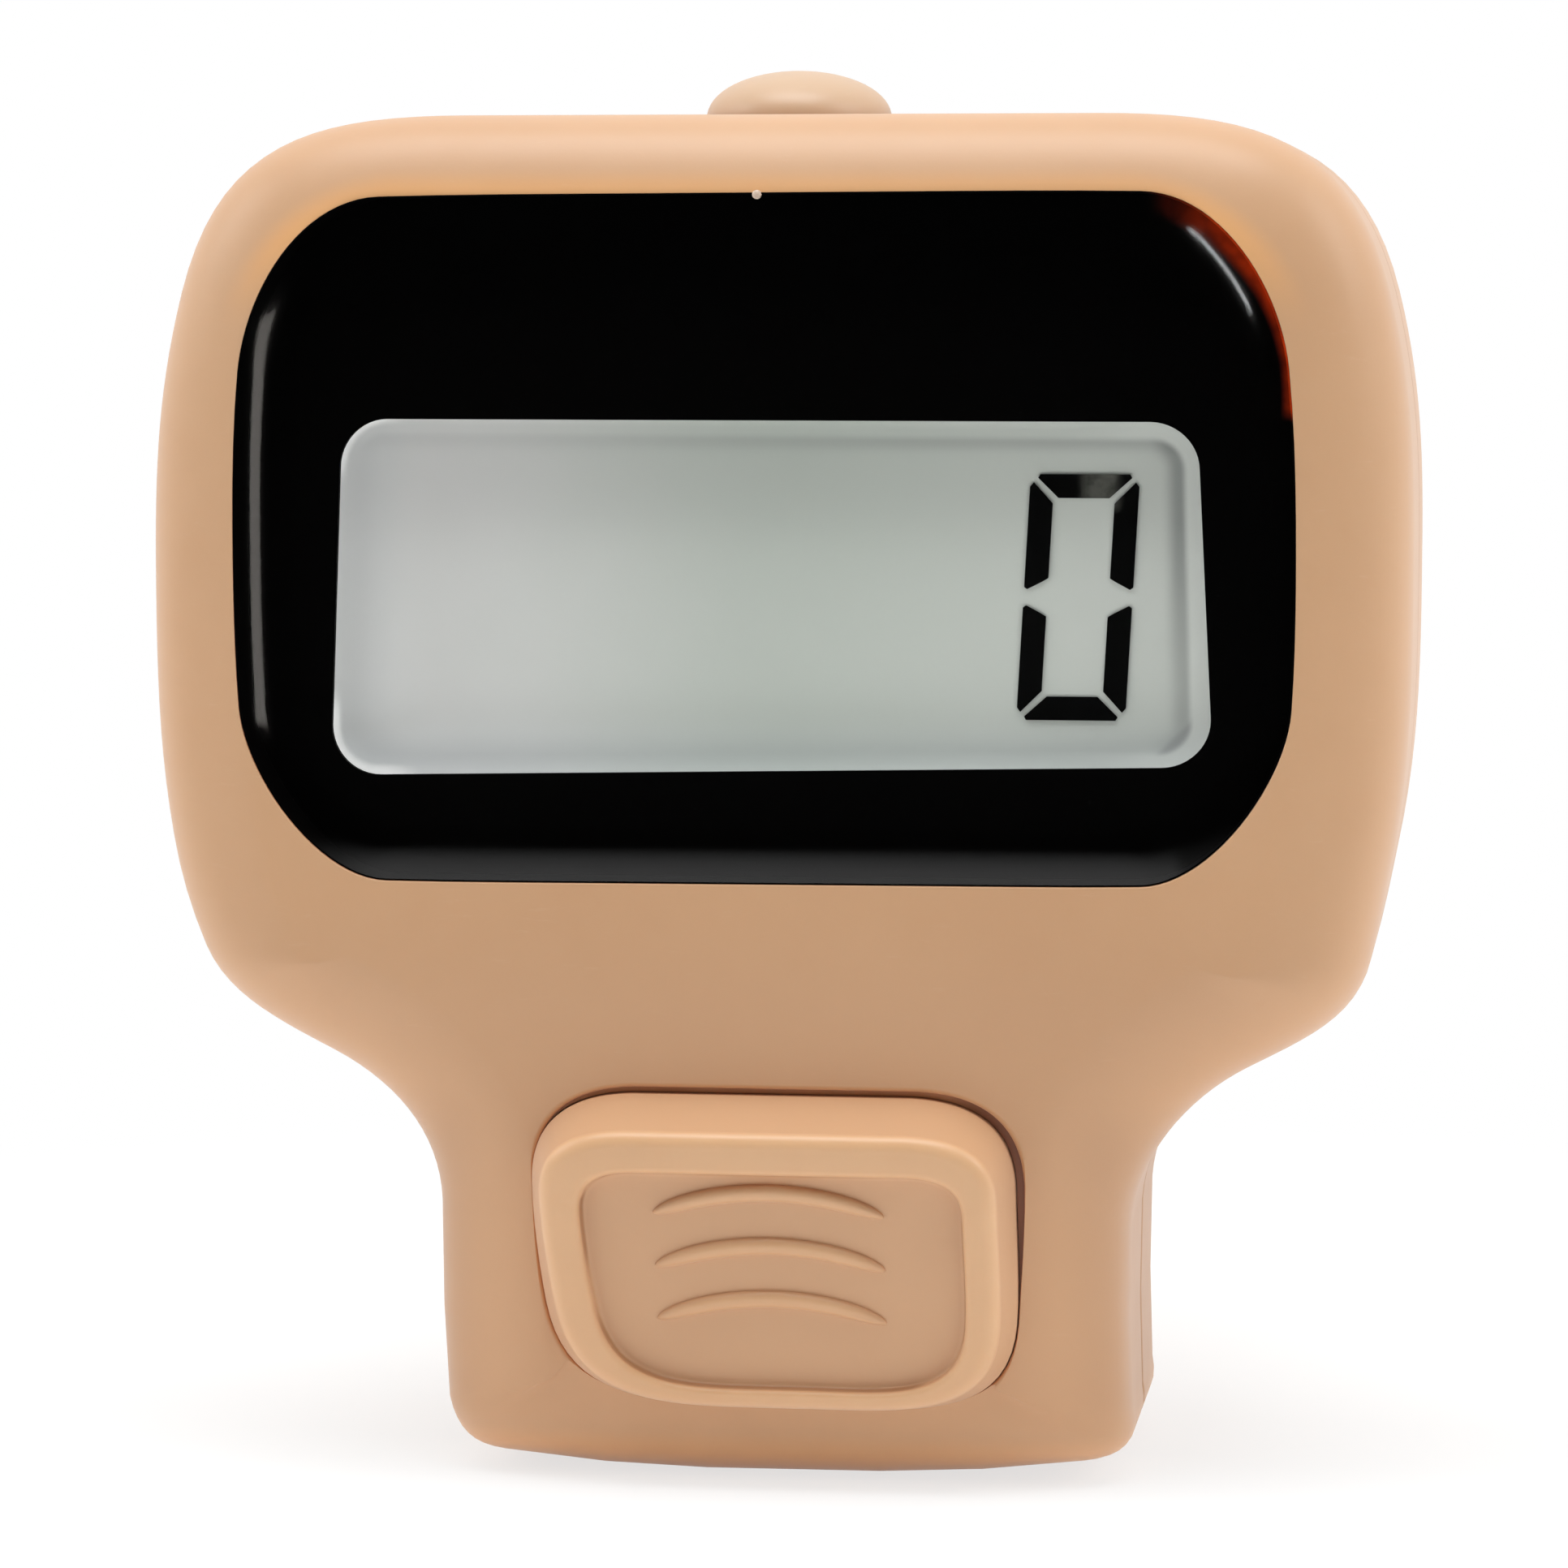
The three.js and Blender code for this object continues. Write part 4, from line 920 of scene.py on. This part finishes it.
def makeRearCover():
    front = body["parting"] + body["partingGap"] / 2
    curl, lip, into = shell["partingRound"], shell["lip"], shell["into"]
    rings = []
    for inward, down in arcSteps(3)[:-1]:
        rings.append(ringAt(bodyOutline(body["partingInset"] * inward), front + curl * down))
    rings.append(ringAt(bodyOutline(0), front + curl))
    for inward, down in arcSteps(shell["edgeSteps"])[::-1]:
        rings.append(ringAt(bodyOutline(shell["rearInset"] * inward), -shell["rearDepth"] * down))
    cover = ringSolid("case_rear_shell", rings)
    carve(cover, slab("hollow", bodyOutline(shell["wall"]), front - 1, shell["plateInner"]))
    well = [(door["well"], door["wellFoot"]), (door["well"], into)]
    carve(cover, turnedY("well", well, 0, loopHeight), "UNION")
    for x, h in screws.values():
        pad = [(screw["padRadius"], -screw["padDepth"]), (screw["padRadius"], into)]
        carve(cover, turnedY("pad", pad, x, h, 32), "UNION")
    for side in (1, -1):
        for end in (1, -1):
            carve(cover, makeLug(side, end), "UNION")
    cell = door["cellRadius"] + door["wellPlay"]
    carve(cover, turnedY("cellBore", [(cell, -7), (cell, door["boreFoot"])], 0, loopHeight))
    tabs = door["tabRadius"] + door["wellPlay"]
    carve(cover, turnedY("tabRoom", [(tabs, y) for y in door["tabRoom"]], 0, loopHeight))
    hole, rim = door["hubRadius"] + door["clearance"], door["radius"] + door["clearance"]
    seat = -door["flange"] - door["seatGap"]
    profile = [(hole, door["boreFoot"]), (hole, seat), (rim, seat), (rim, -lip)]
    carve(cover, turnedY("doorCutter", profile + flare(rim, lip), 0, loopHeight, 96))
    wide, thin = screw["headRadius"] + screw["play"], screw["shank"] + screw["play"]
    profile = [(thin, screw["boreFoot"]), (thin, -screw["recess"]), (wide, -screw["recess"]), (wide, -lip)]
    for x, h in screws.values():
        carve(cover, turnedY("screwCutter", profile + flare(wide, lip), x, h, 48))
    carve(cover, resetBore())
    bore = strap["pinRadius"] + strap["pinPlay"]
    for side in (1, -1):
        pinCutter = turnedX("pinCutter", [(bore, -7), (bore, 7)], strap["standOff"], strapHeight(side), 32)
        carve(cover, pinCutter)
    complete(cover, "case", finish["case"], ["rear_cover"])


makeFrontCase()
makeRearCover()
print("shells made")


# Window, print and digit

def makeLens():
    rings = []
    edge, back = window["clearance"] + window["collar"], window["lensBack"]
    steps, chamfer = 12, 0.08
    for i in range(steps + 1):
        out = i / steps
        bulge = window["lensFront"] + window["bevelDepth"] * out**2
        rings.append(ringAt(windowOutline(edge + window["bevelWidth"] * (1 - out)), bulge))
    rings.append(ringAt(windowOutline(edge), back - chamfer))
    rings.append(ringAt(windowOutline(edge + chamfer), back))
    lens = ringSolid("window_pillow", rings)
    complete(lens, "case", finish["lens"], ["window_lens"], 40)


def makeMask():
    front, back = window["lensBack"] + 0.02, window["maskBack"]
    rim = window["lensFront"] + window["bevelDepth"] + 0.02
    sheet = slab("window_print", windowOutline(window["clearance"]), rim, back)
    inside = windowOutline(window["clearance"] + window["collar"] - 0.005)
    carve(sheet, slab("trough", inside, rim - 1, front))
    carve(sheet, slab("viewCutter", viewOutline(0), front - 1, back + 1))
    complete(sheet, "case", finish["print"], ["window_mask"])


def makeGateMark():
    # the small stub left on the lens's upper edge where it was moulded
    x, h = window["shift"] - 0.01, window["centre"] + window["height"] / 2 - 0.05
    y = window["lensFront"] + window["bevelDepth"]
    profile = [(0.1, y + 0.1), (0.1, y - 0.03), (0.07, y - 0.06), (0.02, y - 0.07)]
    complete(turnedY("window_gate_mark", profile, x, h, 20), "case", finish["gate"])


digit = {
    "column": 6.69, "low": 17.45, "width": 2.44, "height": 5.5, "stroke": 0.53, "gap": 0.12, "slant": 0.056,
    "cut": 0.16, "nip": 0.05, "waist": ((1, 0.43), (0.75, 0.35), (0.13, 0.18), (0, 0.23)),
    "front": -9.24, "back": -9.2,
}


def makeDigit():
    # a nought of six bars: each bar's long side lies outwards and its ends are cut at an angle
    w, t, gap, tall = digit["width"], digit["stroke"], digit["gap"], digit["height"]
    cut, nip, slant = digit["cut"], gap + digit["nip"], digit["slant"]
    start = gap + cut * 0.6
    foot = [(start, 0), (w - start, 0), (w - nip, cut / 2), (w - gap - t, t), (gap + t, t), (nip, cut / 2)]
    side = [(0, gap + cut), (cut / 2, gap + 0.06), (t, t + gap)]
    side += [(t * share, tall / 2 - short) for share, short in digit["waist"]]
    across = digit["column"] - w / 2 - tall * slant / 2
    pieces = []
    for shape in (foot, side, [(w - x, z) for x, z in side]):
        for bar in (shape, [(x, tall - z) for x, z in shape]):
            flat = [Vector((across + x + z * slant, digit["low"] + z)) for x, z in bar]
            pieces.append(slab(f"bar{len(pieces)}", flat, digit["front"], digit["back"]))
    complete(joinAll("display_digit", pieces), "case", finish["ink"])


makeLens()
makeMask()
makeGateMark()
makeDigit()
print("window made")


# Buttons

def buttonRing(inset, y, drawn=1.0, grow=(0, 0, 0)):
    side, top, bottom = (a * drawn + b + inset for a, b in zip(button["draft"], grow))
    return ringAt(buttonOutline(side, top, bottom), y)


def makeRidge(h):
    # a low bar with rounded ends that arches across the recess
    stations, around = 18, 12
    rings = []
    for i in range(stations + 1):
        share = -math.cos(i / stations * math.pi)  # closer together towards the ends
        swell = max(0.02, math.sqrt(max(0, 1 - abs(share) ** 6)))
        x = share * button["ridgeLength"] / 2 + button["shift"]
        middle = h + button["ridgeArch"] * (0.5 - share * share)
        ring = []
        for j in range(around):
            a = j / around * 2 * math.pi
            up = middle + math.cos(a) * button["ridgeWidth"] / 2 * swell
            out = math.sin(a) * button["ridgeRise"] * swell
            ring.append(place(x, buttonFace(up) + button["recess"] - out, up))
        rings.append(ring)
    return ringSolid("ridge", rings)


def makeCountButton():
    radius = button["round"]
    rings = []
    for inward, down in arcSteps(6):
        rings.append(buttonRing(radius * inward, lambda h, down=down: buttonFace(h) + radius * down))
    sunk = button["sunk"]
    rings.append(buttonRing(0, lambda h: frontFace(h) - sunk, 0.0))
    rings.append(buttonRing(0, button["flangeBack"] - sunk, 0.0))
    cap = ringSolid("count_button_cap", rings)
    flange = slab(
        "flange", buttonOutline(-button["flangeWidth"]), button["flangeFront"], button["flangeBack"],
    )
    carve(flange, slab("room", bodyOutline(button["flangeRoom"]), -12, -5), "INTERSECT")
    carve(cap, flange, "UNION")
    lip, heel, rim = button["recessLip"], button["recessHeel"], button["rim"]
    levels = [(-lip, -1), (-lip, 0)]
    levels += [(-lip * inward, lip * down) for inward, down in arcSteps(4)[1:]]
    levels += [(heel * inward, button["recess"] - heel * down) for inward, down in arcSteps(3)[::-1]]
    cutter = [buttonRing(out, lambda h, deep=deep: buttonFace(h) + deep, 1.0, rim) for out, deep in levels]
    recess = ringSolid("recessCutter", cutter)
    recess.data.transform(Matrix.Translation((button["recessShift"] * mm, 0, 0)))
    carve(cap, recess)
    for i in range(3):
        carve(cap, makeRidge(button["centre"] + (i - 1) * button["ridgePitch"]), "UNION")
    complete(
        cap, "count_button", finish["button"], ["count_button"], 38, level=False,
    )


def makeReset():
    stem, wide, top = reset["stemRadius"], reset["flangeRadius"], reset["flangeTop"]
    under = top - reset["flangeThickness"]
    profile = [(stem, reset["stemFoot"]), (stem, under), (wide, under), (wide, top), (reset["radius"], top)]
    steps = 16
    for i in range(steps):
        a = i / steps * math.pi / 2
        dome = body["height"] + reset["rise"] * math.sin(a) ** reset["fullness"]
        profile.append((reset["radius"] * math.cos(a), dome))
    profile.append((0.08, body["height"] + reset["rise"]))
    knob = turnedZ("reset_button_dome", profile, reset["shift"], body["parting"], 72)
    complete(knob, "reset_button", finish["reset"], ["reset_button"], 38)


makeCountButton()
makeReset()
print("buttons made")


# Door, screws, strap and pins

def makeDoor():
    edge, lip, r, hub = door["edge"], door["lip"], door["radius"], door["hubRadius"]
    low, under = -door["hubDepth"], -door["flange"]
    profile = [(hub, low), (hub, under), (r, under)]
    profile += [(r - edge * inward, -edge * down) for inward, down in arcSteps(5)[::-1]]
    disc = turnedY("battery_door_disc", profile, 0, loopHeight, 96)
    half = door["tabAngle"] / 2
    for turn in door["tabs"]:
        outline = [Vector((0, loopHeight))]
        for c, s in arc(door["tabRadius"], turn - half, turn + half, 8):
            outline.append(Vector((c, loopHeight + s)))
        carve(disc, slab("tab", outline, low, low + door["tabThickness"]), "UNION")
    end = door["slotWidth"] / 2
    straight = door["slotLength"] / 2 - end
    slot = []
    for side, first in ((1, -90), (-1, 90)):
        for c, s in arc(end, first, first + 180, 8):
            slot.append(Vector((side * straight + c, loopHeight + s)))

    def grown(amount):
        taller = 1 + amount / end
        return [
            Vector((p.x + math.copysign(amount, p.x) * 0.7, loopHeight + (p.y - loopHeight) * taller))
            for p in slot
        ]

    cutter = [ringAt(slot, -door["slotDepth"]), ringAt(slot, -lip)]
    cutter += [ringAt(grown(lip * inward), -lip * down) for inward, down in arcSteps(3)[-2::-1]]
    cutter.append(ringAt(grown(lip), 1))
    carve(disc, ringSolid("slotCutter", cutter))
    complete(disc, "battery_door", finish["case"], ["battery_door"])


def makeScrews():
    seat = -screw["recess"] + 0.02
    top, tip = seat + screw["headHeight"], seat - screw["length"]
    head, shank, rim = screw["headRadius"], screw["shank"], screw["rim"]
    profile = [(0.2, tip), (shank, tip + 0.7), (shank, seat), (head, seat)]
    profile += [(head - rim * inward, top - rim * down) for inward, down in arcSteps(5)[::-1]]
    first = turnedY("screw_model", profile, 0, loopHeight, 48)
    long, thin, deep = screw["cross"]
    for wide, tall in ((long, thin), (thin, long)):
        low = (-wide / 2, top - deep, loopHeight - tall / 2)
        carve(first, block("bar", low, (wide / 2, top + 0.3, loopHeight + tall / 2)))
    bevelSharp(first, 0.035, 2, 55)
    for node, (x, h) in screws.items():
        copy = first.copy()
        copy.data = first.data.copy()
        copy.name = copy.data.name = node.replace("case_screw", "screw")
        bpy.context.collection.objects.link(copy)
        copy.data.transform(Matrix.Translation(place(x, 0, h) - place(0, 0, loopHeight)))
        complete(copy, "case", finish["steel"], [node])
    bpy.data.objects.remove(first)


def bandRing(side, angle, low, high, straight=None):
    # the band's cross-section with rounded corners, at an angle round the loop or on the straight run
    t, edge = strap["thickness"], strap["edge"]
    corners = ((high - edge, t - edge), (low + edge, t - edge), (low + edge, edge), (high - edge, edge))
    a = math.radians(angle)
    ring = []
    for quarter, (cx, cr) in enumerate(corners):
        for c, s in arc(edge, quarter * 90, quarter * 90 + 90, 3):
            x, radius = cx + c, strap["inner"] + cr + s
            if straight is None:
                y, up = strap["centre"] + radius * math.cos(a), radius * math.sin(a)
            else:
                y, up = straight, radius
            ring.append(place(x, y, loopHeight + side * up))
    return ring


def makeBand(name, side, stop, low, high, start=90, narrow=None):
    rings = []
    if start == 90:
        rings.append(bandRing(side, 90, low, high, strap["standOff"]))
    turns, steps = strap["turns"], strap["tongueSteps"]
    for i in range(turns + 1):
        rings.append(bandRing(side, start + (stop - start) * i / turns, low, high))
    if narrow:
        reach, thin = narrow
        rings.append(bandRing(side, stop - 0.8, -thin * 1.15, thin * 1.15))
        for i in range(steps + 1):
            rings.append(bandRing(side, stop - 1.6 + (reach - stop + 1.6) * i / steps, -thin, thin))
    return ringSolid(name, rings)


def makeStrap(side):
    half, h = strap["width"] / 2, strapHeight(side)
    name = "strap_upper" if side > 0 else "strap_lower"
    if side > 0:
        tongue = (strap["tongueReach"], strap["tongueWidth"] / 2)
        band = makeBand("finger_strap_upper", side, strap["tongueShoulder"], -half, half, 90, tongue)
    else:
        band = makeBand("finger_strap_lower", side, strap["forkSlot"], -half, half)
        slot = strap["tongueWidth"] / 2 + strap["forkPlay"]
        for low, high in ((-half, -slot), (slot, half)):
            prong = makeBand("prong", side, strap["forkReach"], low, high, strap["forkSlot"] + 6)
            carve(band, prong, "UNION")
    knuckle = rod(strap["knuckle"], half, strap["knuckleEdge"], 4)
    carve(band, turnedX("knuckle", knuckle, strap["standOff"], h, 48), "UNION")
    bore = strap["pinRadius"] + strap["pinPlay"]
    carve(band, turnedX("bore", [(bore, -half - 1), (bore, half + 1)], strap["standOff"], h, 32))
    complete(band, name, finish["strap"], [name], 34)


def makePin(side):
    node = "strap_pin_upper" if side > 0 else "strap_pin_lower"
    profile = rod(strap["pinRadius"], strap["pinLength"] / 2, strap["pinEdge"], 3)
    pin = turnedX(node.replace("strap_", "hinge_"), profile, strap["standOff"], strapHeight(side), 32)
    complete(pin, "case", finish["pinSteel"], [node])


makeDoor()
makeScrews()
for side in (1, -1):
    makeStrap(side)
    makePin(side)
print("back made")


# Floor, light and camera

studio = {
    "floorHalf": 0.16, "floorFront": -0.076, "floorBack": 0.3,
    # the world's light by how far back a direction points
    "fill": {1: -0.74, 2: 0.15, 3: 0.13, 4: 1.25}, "mirror": {1: -0.2, 2: 0.3, 3: 0.004, 4: 1.0},
}

viewpoint = {
    "azimuth": 7.6, "elevation": 5.19, "distance": 0.130, "lens": 129.1, "shift": (-0.0102, 0.00433),
    "target": (0, -0.006, 0),
}


def direction(azimuth, elevation):
    # from the object towards a lamp or the camera: round from the front to the right, then up
    a, e = math.radians(azimuth), math.radians(elevation)
    return Vector((math.sin(a) * math.cos(e), -math.cos(a) * math.cos(e), math.sin(e)))


def floorWhite():
    # paper floor: seen as white, and it still takes the object's shadow
    g, p, x, y, _ = canvas("paperWhite")
    fibres = g.noise(p, 0.8, 4.0)
    paper = g.node("ShaderNodeBsdfDiffuse", None, {
        "Color": g.mix(fibres * 0.3, paint(250, 250, 250), paint(244, 244, 243)), "Roughness": 0.5,
    })
    path = g.node("ShaderNodeLightPath", out="Is Camera Ray")
    mirrored, through = g.other(path, "Is Glossy Ray"), g.other(path, "Is Transmission Ray")
    seen = g.maths("MAXIMUM", path, g.maths("MAXIMUM", mirrored, through))
    # in reflections the paper in front is bright between its edges only
    strip = g.ease(x, 13.0, 15.0, 0.8, 0.04) * g.ease(x, -28.0, -15.0) * g.ease(y, -45.0, -26.0)
    front = g.away(y, -24.0, -16.0) * mirrored
    glow = g.node("ShaderNodeEmission", None, {"Color": (1, 1, 1, 1), "Strength": 1 - front * (1 - strip)})
    far = g.ease(g.maths("SQRT", x * x + y * y), 22.0, 48.0, 0.7, 1.0)
    return g.finished(g.node("ShaderNodeMixShader", None, {0: seen * far, 1: paper, 2: glow}))


def makeFloor():
    bpy.ops.object.select_all(action="DESELECT")
    middle = (studio["floorFront"] + studio["floorBack"]) / 2
    bpy.ops.mesh.primitive_plane_add(size=1, location=(0, middle, -loopHeight * mm - 0.00002))
    ground = bpy.context.object
    ground.name = "paper_floor"
    ground.scale = (studio["floorHalf"] * 2, studio["floorBack"] - studio["floorFront"], 1)
    bpy.ops.object.transform_apply(location=True, rotation=True, scale=True)
    ground.data.materials.append(floorWhite())


def lightWorld():
    g = Graph("studioWorld", bpy.data.worlds)
    bpy.context.scene.world = g.owner
    back = g.split(g.node("ShaderNodeTexCoord", out="Generated"))[1]
    path = g.node("ShaderNodeLightPath", out="Is Camera Ray")
    fill, mirror = (g.node("ShaderNodeBackground", None, {
        "Strength": g.node("ShaderNodeMapRange", None, {0: back, **studio[part]}),
    }) for part in ("fill", "mirror"))
    white = g.node("ShaderNodeBackground", None, {"Color": (1, 1, 1, 1)})
    lit = g.node("ShaderNodeMixShader", None, {0: g.other(path, "Is Glossy Ray"), 1: fill, 2: mirror})
    seen = g.node("ShaderNodeMixShader", None, {0: path, 1: lit, 2: white})
    g.node("ShaderNodeOutputWorld", None, {"Surface": seen})


def addLamp(name, towards, distance, size, power, colour=(1, 1, 1), roll=0):
    away = direction(*towards)
    data = bpy.data.lights.new(name, "AREA")
    data.shape = "RECTANGLE"
    data.size, data.size_y = size
    data.energy = power
    data.color = colour
    lamp = bpy.data.objects.new(name, data)
    bpy.context.collection.objects.link(lamp)
    lamp.location = away * distance
    turn = Matrix.Rotation(math.radians(roll), 4, "Z")
    lamp.rotation_euler = (away.to_track_quat("Z", "Y").to_matrix().to_4x4() @ turn).to_euler()


def makeCamera():
    away = direction(viewpoint["azimuth"], viewpoint["elevation"])
    data = bpy.data.cameras.new("studioCamera")
    data.sensor_width = 36
    data.lens = viewpoint["lens"]
    data.shift_x, data.shift_y = viewpoint["shift"]
    data.clip_start, data.clip_end = 0.005, 10
    camera = bpy.data.objects.new("studioCamera", data)
    bpy.context.collection.objects.link(camera)
    camera.location = Vector(viewpoint["target"]) + away * viewpoint["distance"]
    camera.rotation_euler = away.to_track_quat("Z", "Y").to_euler()
    bpy.context.scene.camera = camera


makeFloor()
lightWorld()
addLamp("topSoftbox", (-8, 76), 0.5, (0.42, 0.3), 2.0, (0.97, 0.985, 1.0))
addLamp("leftSoftbox", (-76, 30), 0.6, (0.3, 0.3), 0.84)
addLamp("rightSoftbox", (76, 32), 0.6, (0.3, 0.35), 0.95)
addLamp("leftStrip", (-39, 0), 0.5, (0.05, 0.18), 0.075, (1.0, 0.94, 0.88))
addLamp("cornerStrip", (17, 17), 0.5, (0.13, 0.012), 0.055, roll=-54)
makeCamera()
bpy.context.scene.view_settings.view_transform = "Standard"
print("studio made")
